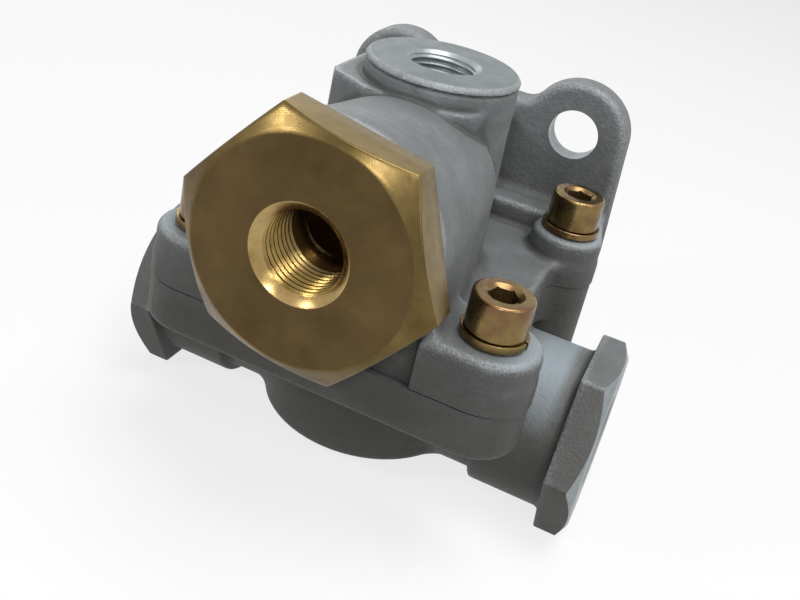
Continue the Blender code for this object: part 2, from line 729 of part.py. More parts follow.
def make_side_port(side):
    """Root, neck and hexagonal collar of one side port."""
    turn = sideways(side)
    collar_start = PORT_REACH - PORT_HEX_THICKNESS
    root_start = at(0.0, 0.0, -PORT_DEPTH)
    neck_start = at(side * NECK_START, 0.0, -PORT_DEPTH)
    neck_length = collar_start - NECK_START + PORT_HEX_THICKNESS / 2
    name = "side_port_%d_" % side
    return [
        cylinder(name + "root", ROOT_RADIUS, NECK_START + SEAT_GAP, root_start, turn),
        cylinder(name + "neck", NECK_RADIUS, neck_length, neck_start, turn),
        chamfered_hexagon(
            name + "collar",
            PORT_HEX,
            PORT_HEX_TURN,
            PORT_HEX_THICKNESS,
            PORT_FACE_DIAMETER,
            PORT_CHAMFER_ANGLE,
            at(side * collar_start, 0.0, -PORT_DEPTH),
            turn,
        ),
    ]


def side_port_bore(side):
    mouth = PORT_MOUTH / 2
    thread = PORT_THREAD / 2
    inner = PORT_BORE / 2
    profile = [
        (mouth, 0.0),
        (thread, mouth - thread),
        (thread, PORT_THREAD_DEPTH),
        (inner, PORT_THREAD_DEPTH + (thread - inner) / 2),
        (inner, PORT_REACH - (GALLERY_RADIUS + EXHAUST_TUBE_RADIUS) / 2),
    ]
    start = at(side * PORT_REACH, 0.0, -PORT_DEPTH)
    return bore("side_port_bore_%d" % side, profile, start, sideways(-side))


def chamber_and_gallery():
    """Cutter for the diaphragm's chamber and the gallery round the exhaust tube."""
    profile = [
        (0.0, OVERRUN),
        (CHAMBER_RADIUS, OVERRUN),
        (CHAMBER_RADIUS, -BODY_CHAMBER_DEPTH),
        (GALLERY_RADIUS, -BODY_CHAMBER_DEPTH),
        (GALLERY_RADIUS, -GALLERY_DEPTH),
        (EXHAUST_TUBE_RADIUS, -GALLERY_DEPTH),
        (EXHAUST_TUBE_RADIUS, -EXHAUST_SEAT_DEPTH),
        (0.0, -EXHAUST_SEAT_DEPTH),
    ]
    return turned("chamber_and_gallery", profile, at(0.0, 0.0, 0.0), UP, LARGE_STEPS)


def exhaust_passage():
    """Cutter for the exhaust tube that leaves a spider at its lower end."""
    low = FLAP_SEAT - SEAT_GAP
    length = OVERRUN - EXHAUST_SEAT_DEPTH - low
    passage = cylinder("exhaust_passage", EXHAUST_BORE / 2, length, at(0.0, 0.0, low))
    spider_height = SPIDER_TOP - low + OVERRUN
    spider_start = at(0.0, 0.0, low - OVERRUN)
    hub = cylinder("spider_hub", SPIDER_HUB / 2, spider_height, spider_start, UP, SMALL_STEPS)
    spider = [hub]
    for arm in range(SPIDER_ARMS):
        bar = box(
            "spider_arm_%d" % arm,
            (0.0, -SPIDER_ARM_WIDTH / 2, low - OVERRUN),
            (EXHAUST_BORE, SPIDER_ARM_WIDTH / 2, SPIDER_TOP - SEAT_GAP / 3),
        )
        swing = Matrix.Rotation(math.tau * arm / SPIDER_ARMS, 4, "Z")
        axis = Matrix.Translation(at(0.0, 0.0, 0.0))
        bar.matrix_world = axis @ swing @ axis.inverted() @ Matrix.Translation(bar.location)
        spider.append(bar)
    return combine(passage, spider, "DIFFERENCE")


def make_body():
    """Lower casting: flange, shoulder, cup and two side ports, with their bores."""
    thickness = BODY_FLANGE_DEPTH + OVERRUN
    middle = at(0.0, 0.0, OVERRUN - thickness / 2)
    body = extruded("valve_body", flange_outline(0.0, -90.0), thickness, middle)
    round_edges(body, LUG_ROUNDING, edges_at(-thickness / 2))

    cup_height = CUP_DEPTH - SHOULDER_START
    cup = cylinder("cup", CUP_RADIUS, cup_height, at(0.0, 0.0, -CUP_DEPTH), UP, LARGE_STEPS)
    round_edges(cup, CUP_ROUNDING, edges_at(0.0))
    shoulder_height = SHOULDER_END - SHOULDER_START
    shoulder_start = at(0.0, 0.0, -SHOULDER_END)
    joined = [
        cup,
        cone("shoulder", CUP_RADIUS, SHOULDER_RADIUS, shoulder_height, shoulder_start, UP, LARGE_STEPS),
    ]
    for side in (-1, 1):
        joined += make_side_port(side)
        start = at(side * SCREW_X, REAR_SCREW_Y, -REAR_LUG_DEPTH)
        length = REAR_LUG_DEPTH - SHOULDER_START
        joined.append(cylinder("rear_post_%d" % side, REAR_LUG_RADIUS, length, start, UP, SMALL_STEPS))
    combine(body, joined, "UNION")

    reach = 2 * AXIS_TO_MOUNT
    groove_outer = COVER_SEAL_INNER + O_RING_ROOM
    groove = [
        (groove_outer, BODY_TOP + OVERRUN),
        (groove_outer, BODY_TOP - COVER_SEAL_DEPTH),
        (COVER_SEAL_INNER, BODY_TOP - COVER_SEAL_DEPTH),
        (COVER_SEAL_INNER, BODY_TOP + OVERRUN),
    ]
    recess = [(FLAP_RECESS_RADIUS, 0.0), (FLAP_RECESS_RADIUS, FLAP_RECESS_DEPTH)]
    rivet_hole = RIVET_SHANK / 2 + SEAT_GAP
    cutters = [
        box("above_parting", (-reach, -reach, BODY_TOP), (reach, reach, reach)),
        chamber_and_gallery(),
        turned("cover_seal_groove", groove, at(0.0, 0.0, 0.0), UP, LARGE_STEPS, ring=True),
        bore("flap_recess", recess, at(0.0, 0.0, -CUP_DEPTH), UP, LARGE_STEPS),
        exhaust_passage(),
        cylinder("rivet_hole", rivet_hole, CUP_DEPTH, at(0.0, 0.0, -CUP_DEPTH), UP, SMALL_STEPS),
        side_port_bore(-1),
        side_port_bore(1),
    ]
    hole = SCREW_DIAMETER + 2 * THREAD_GAP
    cutters += screw_holes("body_hole_", hole, -SCREW_HOLE_DEPTH, OVERRUN)
    combine(body, cutters, "DIFFERENCE")
    return finish_part(body, ALUMINIUM)


def make_adapter():
    """Brass inlet adapter: hexagon, O-ring groove, threaded shank and front seat."""
    adapter = chamfered_hexagon(
        "inlet_adapter",
        ADAPTER_HEX,
        ADAPTER_HEX_TURN,
        ADAPTER_HEX_THICKNESS,
        ADAPTER_FACE_DIAMETER,
        ADAPTER_CHAMFER_ANGLE,
        at(0.0, ADAPTER_HEX_BACK, BARREL_HEIGHT),
        FRONTWARDS,
    )
    radius = ADAPTER_SHANK / 2
    length = ADAPTER_SHANK_LENGTH
    seat = ADAPTER_BORE / 2 + SEAT_WALL
    shank_profile = [
        (0.0, length + SEAT_HEIGHT),
        (seat, length + SEAT_HEIGHT),
        (seat, length),
        (radius - ADAPTER_SHANK_CHAMFER, length),
        (radius, length - ADAPTER_SHANK_CHAMFER),
        (radius, O_RING_ROOM),
        (ADAPTER_GROOVE_RADIUS, O_RING_ROOM),
        (ADAPTER_GROOVE_RADIUS, -ADAPTER_HEX_THICKNESS / 2),
        (0.0, -ADAPTER_HEX_THICKNESS / 2),
    ]
    shank_start = at(0.0, ADAPTER_HEX_BACK, BARREL_HEIGHT)
    shank = turned("adapter_shank", shank_profile, shank_start, BACKWARDS)
    mouth = ADAPTER_MOUTH / 2
    thread = ADAPTER_THREAD / 2
    relief_end = ADAPTER_THREAD_DEPTH + ADAPTER_RELIEF_WIDTH
    bore_profile = [
        (mouth, 0.0),
        (thread, mouth - thread),
        (thread, ADAPTER_THREAD_DEPTH),
        (ADAPTER_RELIEF / 2, ADAPTER_THREAD_DEPTH),
        (ADAPTER_RELIEF / 2, relief_end),
        (ADAPTER_BORE / 2, relief_end),
        (ADAPTER_BORE / 2, FRONT_SEAT + ADAPTER_REACH + OVERRUN),
    ]
    bore_start = at(0.0, -ADAPTER_REACH, BARREL_HEIGHT)
    combine(adapter, [shank], "UNION")
    combine(adapter, [bore("adapter_bore", bore_profile, bore_start, BACKWARDS)], "DIFFERENCE")
    return finish_part(adapter, BRASS)


def make_o_rings():
    adapter_ring_y = ADAPTER_HEX_BACK + O_RING_ROOM / 2
    adapter_ring = o_ring(
        "adapter_o_ring",
        ADAPTER_GROOVE_RADIUS + SEAT_GAP,
        at(0.0, adapter_ring_y, BARREL_HEIGHT),
        BACKWARDS,
    )
    cover_ring_z = BODY_TOP - COVER_SEAL_DEPTH + O_RING_ROOM / 2
    cover_ring = o_ring("cover_o_ring", COVER_SEAL_INNER + SEAT_GAP, at(0.0, 0.0, cover_ring_z))
    finish_part(adapter_ring, RUBBER)
    finish_part(cover_ring, RUBBER)


def make_sleeve():
    """Guide sleeve of the shuttle, with four windows between two end rings."""
    length = SLEEVE_END - SLEEVE_START
    outer = SLEEVE_DIAMETER / 2
    profile = [
        (outer, length),
        (outer, 0.0),
        (SLEEVE_INNER_RADIUS, 0.0),
        (SLEEVE_INNER_RADIUS, length),
    ]
    start = at(0.0, SLEEVE_START, BARREL_HEIGHT)
    sleeve = turned("shuttle_sleeve", profile, start, BACKWARDS, MEDIUM_STEPS, ring=True)
    front = SLEEVE_START + SLEEVE_END_RING
    rear = SLEEVE_END - SLEEVE_END_RING
    half = SLEEVE_WINDOW / 2
    low = BARREL_HEIGHT - SLEEVE_DIAMETER
    high = BARREL_HEIGHT + SLEEVE_DIAMETER
    windows = [
        box(
            "side_windows",
            (-SLEEVE_DIAMETER, front, BARREL_HEIGHT - half),
            (SLEEVE_DIAMETER, rear, BARREL_HEIGHT + half),
        ),
        box("upright_windows", (-half, front, low), (half, rear, high)),
    ]
    combine(sleeve, windows, "DIFFERENCE")
    return finish_part(sleeve, BRASS)


def make_shuttle():
    """Spool with a rubber seal let into each end; its origin is on its sliding axis."""
    recess = SEAL_DIAMETER / 2 + SEAT_GAP
    half = SHUTTLE_LENGTH / 2
    waist = SHUTTLE_WAIST / 2
    floor = half - SEAL_RECESS_DEPTH
    upper = [
        (0.0, floor),
        (recess, floor),
        (recess, half),
        (SHUTTLE_RADIUS, half),
        (SHUTTLE_RADIUS, half - SHUTTLE_DISC),
        (waist, half - SHUTTLE_DISC),
    ]
    profile = upper + [(radius, -height) for radius, height in reversed(upper)]
    centre = at(0.0, SHUTTLE_FRONT + half, BARREL_HEIGHT)
    finish_part(turned("shuttle", profile, centre, BACKWARDS), ACETAL)
    seal_start = floor + SEAT_GAP
    front_start = at(0.0, SHUTTLE_FRONT + half - seal_start, BARREL_HEIGHT)
    rear_start = at(0.0, SHUTTLE_FRONT + half + seal_start, BARREL_HEIGHT)
    seal = SEAL_DIAMETER / 2
    front_seal = cylinder("shuttle_front_seal", seal, SEAL_THICKNESS, front_start, FRONTWARDS)
    rear_seal = cylinder("shuttle_rear_seal", seal, SEAL_THICKNESS, rear_start, BACKWARDS)
    finish_part(front_seal, RUBBER)
    finish_part(rear_seal, RUBBER)


def make_diaphragm():
    """Rubber disc with a thick middle, resting on the exhaust seat."""
    hub = DIAPHRAGM_HUB / 2
    lip_top = (DIAPHRAGM_THICKNESS + DIAPHRAGM_LIP) / 2
    lip_bottom = (DIAPHRAGM_THICKNESS - DIAPHRAGM_LIP) / 2
    profile = [
        (0.0, DIAPHRAGM_THICKNESS),
        (hub, DIAPHRAGM_THICKNESS),
        (hub + DIAPHRAGM_SLOPE, lip_top),
        (DIAPHRAGM_RADIUS, lip_top),
        (DIAPHRAGM_RADIUS, lip_bottom),
        (hub + DIAPHRAGM_SLOPE, lip_bottom),
        (hub, 0.0),
        (0.0, 0.0),
    ]
    diaphragm = turned("diaphragm", profile, at(0.0, 0.0, DIAPHRAGM_UNDERSIDE))
    return finish_part(diaphragm, RUBBER)


def make_exhaust_flap():
    """Rubber flap over the exhaust port and the rivet that holds it to the spider."""
    hole = RIVET_SHANK / 2 + SEAT_GAP
    flap_profile = [
        (FLAP_RADIUS, FLAP_THICKNESS),
        (FLAP_RADIUS, FLAP_THICKNESS / 2),
        (FLAP_RADIUS - FLAP_THICKNESS / 2, 0.0),
        (hole, 0.0),
        (hole, FLAP_THICKNESS),
    ]
    flap_place = at(0.0, 0.0, FLAP_UNDERSIDE)
    finish_part(turned("exhaust_flap", flap_profile, flap_place, ring=True), RUBBER)
    head_top = FLAP_UNDERSIDE - SEAT_GAP
    head_bottom = head_top - RIVET_HEAD_HEIGHT
    tail_bottom = SPIDER_TOP + SEAT_GAP
    tail_top = tail_bottom + RIVET_TAIL_HEIGHT
    shank = RIVET_SHANK / 2
    rivet_profile = [
        (0.0, tail_top),
        (RIVET_TAIL / 2, tail_top),
        (RIVET_TAIL / 2, tail_bottom),
        (shank, tail_bottom),
        (shank, head_top),
        (RIVET_HEAD / 2, head_top),
        (RIVET_HEAD / 2, head_bottom + RIVET_HEAD_CHAMFER),
        (RIVET_HEAD / 2 - RIVET_HEAD_CHAMFER, head_bottom),
        (0.0, head_bottom),
    ]
    rivet = turned("flap_rivet", rivet_profile, at(0.0, 0.0, 0.0), UP, SMALL_STEPS)
    finish_part(rivet, STEEL)


def socket_head_screw():
    """Mesh of a socket head cap screw whose origin is under its head."""
    radius = HEAD_DIAMETER / 2
    shank = SCREW_DIAMETER / 2
    profile = [
        (0.0, HEAD_HEIGHT),
        (radius - HEAD_CHAMFER, HEAD_HEIGHT),
        (radius, HEAD_HEIGHT - HEAD_CHAMFER),
        (radius, 0.0),
        (shank, 0.0),
        (shank, SCREW_TIP_CHAMFER - SCREW_LENGTH),
        (shank - SCREW_TIP_CHAMFER, -SCREW_LENGTH),
        (0.0, -SCREW_LENGTH),
    ]
    middle = (0.0, 0.0, 0.0)
    screw = turned("screw_pattern", profile, middle, UP, SMALL_STEPS)
    socket_middle = (0.0, 0.0, HEAD_HEIGHT - SOCKET_DEPTH + (SOCKET_DEPTH + OVERRUN) / 2)
    socket_points = hexagon(SOCKET_ACROSS_FLATS, 0.0)
    socket = extruded("screw_socket", socket_points, SOCKET_DEPTH + OVERRUN, socket_middle)
    combine(screw, [socket], "DIFFERENCE")
    return clean(evaluated_mesh(screw))


def flat_washer():
    """Mesh of a washer whose origin is in its lower face."""
    outer = WASHER_DIAMETER / 2
    hole = SCREW_DIAMETER / 2 + SCREW_CLEARANCE
    profile = [(outer, WASHER_THICKNESS), (outer, 0.0), (hole, 0.0), (hole, WASHER_THICKNESS)]
    ring = turned("washer_pattern", profile, (0.0, 0.0, 0.0), UP, SMALL_STEPS, ring=True)
    return clean(evaluated_mesh(ring))


def make_screws():
    screw_mesh = socket_head_screw()
    washer_mesh = flat_washer()
    for name, x, y in screw_places():
        screw = add_tool("cover_screw_" + name, screw_mesh, at(x, y, HEAD_SEAT))
        finish_part(screw, ZINC)
        washer = add_tool("screw_washer_" + name, washer_mesh, at(x, y, WASHER_SEAT))
        finish_part(washer, ZINC)


for old_item in list(bpy.data.objects):
    bpy.data.objects.remove(old_item, do_unlink=True)
parts = new_collection("quick_exhaust_valve")
tools = new_collection("cutters_and_joined_shapes")

make_cover()
make_body()
make_adapter()
make_o_rings()
make_sleeve()
make_shuttle()
make_diaphragm()
make_exhaust_flap()
make_screws()
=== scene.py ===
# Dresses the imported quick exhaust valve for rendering: cast aluminium housing, turned and milled
# brass adapter, yellow zinc screws, and the camera and light of the photograph.
#
# Shapes are worked out in millimetres from the valve's upright axis and its parting plane, X to
# the right, Y to the back and Z up, and are moved to the part's own frame as they become meshes.

import math

import bmesh
import bpy
import numpy
from mathutils import Euler, Matrix, Vector


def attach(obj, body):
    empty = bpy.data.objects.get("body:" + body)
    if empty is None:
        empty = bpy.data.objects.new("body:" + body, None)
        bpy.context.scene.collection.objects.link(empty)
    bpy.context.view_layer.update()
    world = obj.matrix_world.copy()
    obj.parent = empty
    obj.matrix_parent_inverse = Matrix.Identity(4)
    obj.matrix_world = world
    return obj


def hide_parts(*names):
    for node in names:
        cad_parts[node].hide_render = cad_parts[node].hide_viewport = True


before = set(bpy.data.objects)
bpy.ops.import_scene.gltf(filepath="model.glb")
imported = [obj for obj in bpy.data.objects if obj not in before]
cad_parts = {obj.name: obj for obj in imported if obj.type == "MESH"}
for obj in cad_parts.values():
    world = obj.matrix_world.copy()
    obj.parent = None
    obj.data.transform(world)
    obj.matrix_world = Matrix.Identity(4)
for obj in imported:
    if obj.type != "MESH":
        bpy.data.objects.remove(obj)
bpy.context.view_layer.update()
print("frame loaded")

mm = 0.001
axisToMount = 53.0
holesAboveParting = 31.6
holeSpacing = 51.0
barrelHeight = 27.8
portDepth = 22.4
screwX = 33.5
screwY = 32.3
plateFront = 46.1

columnSetback = 3.3
columnTop = 52.5
portFace = 58.2
collarHalfFlats = 20.7
seamGap = 0.3
onAxis = 0.001  # radius of a turned outline's ends, closed to a point after the spin
valveAxis = (0.0, 0.0, 0.0)


def place(x, y, z):
    # Point of the part's frame, in metres, from millimetres at the valve's axis.
    return Vector((x, y - axisToMount, z - holesAboveParting)) * mm


def linear(hexColour):
    # Linear colour from the sRGB hex value it should look like.
    channels = []
    for start in (1, 3, 5):
        value = int(hexColour[start:start + 2], 16) / 255.0
        if value <= 0.04045:
            channels.append(value / 12.92)
        else:
            channels.append(((value + 0.055) / 1.055) ** 2.4)
    return (*channels, 1.0)


# Solid shapes as fields: the distance to a surface at each point of a grid, negative inside.

def makeGrid(low, high, step):
    axes = []
    for axis, (start, end) in enumerate(zip(low, high)):
        count = int(math.ceil((end - start) / step)) + 1
        shape = [1, 1, 1]
        shape[axis] = count
        values = start + step * numpy.arange(count, dtype=numpy.float32)
        axes.append(values.reshape(shape))
    return axes


def polygonField(points, x, y):
    # Distance to a closed outline in a plane.
    nearest = numpy.full(numpy.broadcast(x, y).shape, 1e9, dtype=numpy.float32)
    inside = numpy.zeros(nearest.shape, dtype=bool)
    for (startX, startY), (endX, endY) in zip(points, points[1:] + points[:1]):
        alongX = endX - startX
        alongY = endY - startY
        length2 = alongX * alongX + alongY * alongY
        if length2 < 1e-9:
            continue
        way = ((x - startX) * alongX + (y - startY) * alongY) / length2
        way = numpy.clip(way, 0.0, 1.0)
        away2 = (x - startX - alongX * way) ** 2 + (y - startY - alongY * way) ** 2
        nearest = numpy.minimum(nearest, away2)
        crosses = (startY > y) != (endY > y)
        if alongY != 0.0:
            inside ^= crosses & (x < startX + alongX * (y - startY) / alongY)
    distance = numpy.sqrt(nearest)
    return numpy.where(inside, -distance, distance)


def slabField(flat, height, low, high, rounding):
    # Outline with a thickness and rounded rims.
    across = numpy.abs(height - (low + high) / 2) - (high - low) / 2 + rounding
    flat = flat + rounding
    corner = numpy.sqrt(numpy.maximum(flat, 0.0) ** 2 + numpy.maximum(across, 0.0) ** 2)
    return corner + numpy.minimum(numpy.maximum(flat, across), 0.0) - rounding


def coneField(a, b, along, start, end, startRadius, endRadius, rounding):
    # Cone or cylinder along an axis, from distances a and b off it.
    slope = (endRadius - startRadius) / (end - start)
    radius = startRadius + slope * (along - start)
    side = (numpy.sqrt(a * a + b * b) - radius) / math.sqrt(1 + slope * slope)
    return slabField(side, along, start, end, rounding)


def boxField(x, y, z, low, high, rounding):
    parts = []
    for values, start, end in zip((x, y, z), low, high):
        parts.append(numpy.abs(values - (start + end) / 2) - (end - start) / 2 + rounding)
    outside = numpy.sqrt(sum(numpy.maximum(part, 0.0) ** 2 for part in parts))
    inside = numpy.minimum(numpy.maximum(numpy.maximum(parts[0], parts[1]), parts[2]), 0.0)
    return outside + inside - rounding


def join(first, second, fillet=0.0):
    # Union of two fields with a round fillet where they meet.
    if fillet == 0.0:
        return numpy.minimum(first, second)
    corner = numpy.hypot(numpy.maximum(fillet - first, 0.0), numpy.maximum(fillet - second, 0.0))
    return numpy.maximum(fillet, numpy.minimum(first, second)) - corner


def fieldMesh(name, field, low, step):
    # Closed mesh along the zero level of a field: one point in each cell that it crosses.
    for side in (field[0], field[-1], field[:, 0], field[:, -1], field[:, :, 0], field[:, :, -1]):
        numpy.maximum(side, step / 2, out=side)
    nx, ny, nz = (size - 1 for size in field.shape)
    total = numpy.zeros((nx, ny, nz, 3), dtype=numpy.float32)
    count = numpy.zeros((nx, ny, nz), dtype=numpy.float32)
    quads = []
    for axis in range(3):
        across = [other for other in range(3) if other != axis]
        lower = [slice(None)] * 3
        upper = [slice(None)] * 3
        lower[axis] = slice(0, -1)
        upper[axis] = slice(1, None)
        startValue = field[tuple(lower)]
        endValue = field[tuple(upper)]
        crossing = (startValue < 0) != (endValue < 0)
        cells = numpy.argwhere(crossing)
        startAt = startValue[crossing]
        way = startAt / (startAt - endValue[crossing])
        point = cells.astype(numpy.float32)
        point[:, axis] += way
        around = []
        for stepA, stepB in ((0, 0), (-1, 0), (-1, -1), (0, -1)):
            cell = cells.copy()
            cell[:, across[0]] += stepA
            cell[:, across[1]] += stepB
            around.append(cell)
        fits = numpy.ones(len(cells), dtype=bool)
        for cell in around:
            fits &= (cell >= 0).all(axis=1)
            fits &= (cell < numpy.array([nx, ny, nz])).all(axis=1)
        for cell in around:
            index = tuple(cell[fits].T)
            for channel in range(3):
                numpy.add.at(total[..., channel], index, point[fits, channel])
            numpy.add.at(count, index, 1.0)
        corners = numpy.stack([cell[fits] for cell in around], axis=1)
        flip = (startAt[fits] < 0) == (axis != 1)
        corners[~flip] = corners[~flip][:, ::-1]
        quads.append(corners)
    used = count > 0
    number = numpy.full(count.shape, -1, dtype=numpy.int64)
    number[used] = numpy.arange(int(used.sum()))
    points = total[used] / count[used][:, None] * step + numpy.array(low, dtype=numpy.float32)
    corners = numpy.concatenate(quads)
    faces = number[corners[..., 0], corners[..., 1], corners[..., 2]]
    points = (points - numpy.array([0.0, axisToMount, holesAboveParting])) * mm
    mesh = bpy.data.meshes.new(name)
    mesh.vertices.add(len(points))
    mesh.vertices.foreach_set("co", points.astype(numpy.float32).ravel())
    mesh.loops.add(faces.size)
    mesh.loops.foreach_set("vertex_index", faces.astype(numpy.int32).ravel())
    mesh.polygons.add(len(faces))
    mesh.polygons.foreach_set("loop_start", numpy.arange(0, faces.size, 4, dtype=numpy.int32))
    mesh.update(calc_edges=True)
    mesh.validate()
    return mesh


def sampled(field, points, low, step):
    # Values of a grid between its points, for points in millimetres at the valve's axis.
    cells = (points - numpy.array(low, dtype=numpy.float32)) / step
    limit = numpy.array(field.shape) - 2
    whole = numpy.clip(numpy.floor(cells).astype(numpy.int64), 0, limit)
    part = numpy.clip(cells - whole, 0.0, 1.0)
    result = numpy.zeros(len(points), dtype=numpy.float32)
    for corner in range(8):
        weight = numpy.ones(len(points), dtype=numpy.float32)
        index = []
        for axis in range(3):
            bit = (corner >> axis) & 1
            index.append(whole[:, axis] + bit)
            weight *= part[:, axis] if bit else 1.0 - part[:, axis]
        result += weight * field[tuple(index)]
    return result


def meshPoints(mesh):
    # Points of a mesh in millimetres at the valve's axis.
    points = numpy.empty(len(mesh.vertices) * 3, dtype=numpy.float32)
    mesh.vertices.foreach_get("co", points)
    return points.reshape(-1, 3) / mm + numpy.array([0.0, axisToMount, holesAboveParting], "f")


def settle(mesh, field, low, step, rounds):
    # Move each point onto the zero level, so that stairs of the grid don't show.
    for _ in range(rounds):
        points = meshPoints(mesh)
        slope = numpy.empty_like(points)
        for axis in range(3):
            shift = numpy.zeros(3, dtype=numpy.float32)
            shift[axis] = step / 2
            ahead = sampled(field, points + shift, low, step)
            behind = sampled(field, points - shift, low, step)
            slope[:, axis] = (ahead - behind) / step
        size2 = numpy.maximum((slope ** 2).sum(axis=1), 0.25)
        value = sampled(field, points, low, step)
        points -= slope * (value / size2)[:, None]
        points = (points - numpy.array([0.0, axisToMount, holesAboveParting], "f")) * mm
        mesh.vertices.foreach_set("co", points.astype(numpy.float32).ravel())
    mesh.update()


def blurred(field, width):
    # Field averaged over a cube that reaches width points each way.
    for axis in range(3):
        padded = numpy.concatenate(
            [numpy.repeat(field.take([0], axis), width + 1, axis), field,
             numpy.repeat(field.take([-1], axis), width, axis)], axis)
        total = numpy.cumsum(padded, axis=axis, dtype=numpy.float64)
        count = field.shape[axis]
        span = 2 * width + 1
        upper = numpy.take(total, range(span, span + count), axis)
        lower = numpy.take(total, range(0, count), axis)
        field = ((upper - lower) / span).astype(numpy.float32)
    return field


def markWearAndShade(mesh, field, low, step):
    # Store how far each point stands out of its surroundings: edges above zero, which show rubbed
    # wear, hollows below, which get painted shade.
    outward = blurred(field, 3) - field
    values = sampled(outward, meshPoints(mesh), low, step)
    attribute = mesh.attributes.new("wearAndShade", "FLOAT", "POINT")
    attribute.data.foreach_set("value", values.astype(numpy.float32))


# Meshes with straight or turned faces, for machined surfaces and small pieces.

turns = {
    "up": Matrix.Identity(3),
    "down": Euler((math.pi, 0.0, 0.0)).to_matrix(),
    "front": Euler((math.pi / 2, 0.0, 0.0)).to_matrix(),
    "back": Euler((-math.pi / 2, 0.0, 0.0)).to_matrix(),
    "right": Euler((0.0, math.pi / 2, 0.0)).to_matrix(),
    "left": Euler((0.0, -math.pi / 2, 0.0)).to_matrix(),
}


def newPiece(name, mesh):
    piece = bpy.data.objects.new(name, mesh)
    bpy.context.scene.collection.objects.link(piece)
    return piece


def finishForm(name, form, origin, turn):
    # Mesh of a form drawn in millimetres, turned and put at its place.
    bmesh.ops.recalc_face_normals(form, faces=form.faces)
    move = Matrix.LocRotScale(place(*origin), turns[turn], Vector((mm, mm, mm)))
    bmesh.ops.transform(form, matrix=move, verts=form.verts)
    mesh = bpy.data.meshes.new(name)
    form.to_mesh(mesh)
    form.free()
    return mesh


def gridMesh(name, points, origin, turn, shear=0, capLow=None, capHigh=None):
    # Tube of rows and columns round an axis; shear joins its last column higher, as a helix.
    rows, columns = points.shape[:2]
    matrix = numpy.array(turns[turn], dtype=numpy.float64)
    start = numpy.array(place(*origin))
    mesh = bpy.data.meshes.new(name)
    flat = points.reshape(-1, 3)
    faces = []
    for row in range(rows - 1):
        for column in range(columns - 1):
            low = row * columns + column
            faces.append((low, low + 1, low + 1 + columns, low + columns))
    for row in range(rows - 1 - shear):
        low = row * columns + columns - 1
        joined = (row + shear) * columns
        faces.append((low, joined, joined + columns, low + columns))
    extra = []
    if capLow is not None:
        ends = list(range(columns)) + [row * columns for row in range(shear, 0, -1)]
        centre = len(flat) + len(extra)
        extra.append((0.0, 0.0, capLow))
        for first, second in zip(ends, ends[1:] + ends[:1]):
            faces.append((second, first, centre))
    if capHigh is not None:
        top = (rows - 1) * columns
        ends = [top + column for column in range(columns)]
        ends += [(row + 1) * columns - 1 for row in range(rows - 2, rows - 2 - shear, -1)]
        centre = len(flat) + len(extra)
        extra.append((0.0, 0.0, capHigh))
        for first, second in zip(ends, ends[1:] + ends[:1]):
            faces.append((first, second, centre))
    allPoints = numpy.vstack([flat, numpy.array(extra).reshape(-1, 3)])
    allPoints = allPoints @ matrix.T * mm + start
    mesh.from_pydata(allPoints.tolist(), [], faces)
    return mesh


def turnedMesh(name, profile, origin, turn, columns=128, ring=False):
    # Turned solid from (radius, height) points, its axis along a direction.
    form = bmesh.new()
    corners = [form.verts.new((radius, 0.0, height)) for radius, height in profile]
    following = corners[1:] + corners[:1] if ring else corners[1:]
    edges = [form.edges.new(pair) for pair in zip(corners, following)]
    bmesh.ops.spin(form, geom=corners + edges, cent=(0.0, 0.0, 0.0), axis=(0.0, 0.0, 1.0),
                   dvec=(0.0, 0.0, 0.0), angle=math.tau, steps=columns, use_merge=True)
    bmesh.ops.remove_doubles(form, verts=form.verts, dist=0.004)
    return finishForm(name, form, origin, turn)


def threadMesh(name, minor, major, pitch, start, end, origin, turn):
    # Cutter for an inner thread between two depths.
    shape = [(0.0, 0.0), (0.2, 0.0), (0.27, 0.08), (0.55, 0.92), (0.6, 1.0), (0.66, 1.0),
             (0.71, 0.92), (0.95, 0.08)]
    columns = 96
    turnsCount = int((end - start) / pitch)
    angles = numpy.linspace(0.0, math.tau, columns, endpoint=False)
    rows = []
    for turnNumber in range(turnsCount):
        for part, rise in shape:
            radius = minor / 2 + (major - minor) / 2 * rise
            height = start + pitch * (turnNumber + part + angles / math.tau)
            rows.append(numpy.stack([
                radius * numpy.cos(angles), radius * numpy.sin(angles), height], axis=1))
    points = numpy.array(rows)
    low = start - minor / 2
    high = end + pitch + minor / 4
    return gridMesh(name, points, origin, turn, len(shape), low, high)


def boxMesh(name, low, high):
    low = place(*low)
    high = place(*high)
    mesh = bpy.data.meshes.new(name)
    form = bmesh.new()
    bmesh.ops.create_cube(form, size=1.0)
    bmesh.ops.scale(form, vec=high - low, verts=form.verts)
    bmesh.ops.translate(form, vec=(low + high) / 2, verts=form.verts)
    form.to_mesh(mesh)
    form.free()
    return mesh


def prismMesh(name, outline, start, end, origin, turn):
    # Straight prism over an outline.
    form = bmesh.new()
    base = form.faces.new([form.verts.new((x, y, start)) for x, y in outline])
    raised = bmesh.ops.extrude_face_region(form, geom=[base])["geom"]
    bmesh.ops.translate(form, vec=(0.0, 0.0, end - start),
                        verts=[part for part in raised if isinstance(part, bmesh.types.BMVert)])
    return finishForm(name, form, origin, turn)


def cut(piece, cutters, operation="DIFFERENCE"):
    # Apply booleans; each cut face takes its cutter's material.
    tools = []
    for mesh, material in cutters:
        mesh.materials.clear()
        mesh.materials.append(material)
        tool = newPiece("cutter", mesh)
        tools.append(tool)
        modifier = piece.modifiers.new("cut", "BOOLEAN")
        modifier.operation = operation
        modifier.solver = "MANIFOLD"
        modifier.material_mode = "TRANSFER"
        modifier.object = tool
    graph = bpy.context.evaluated_depsgraph_get()
    mesh = bpy.data.meshes.new_from_object(piece.evaluated_get(graph))
    piece.modifiers.clear()
    piece.data = mesh
    for tool in tools:
        bpy.data.objects.remove(tool, do_unlink=True)
    return piece


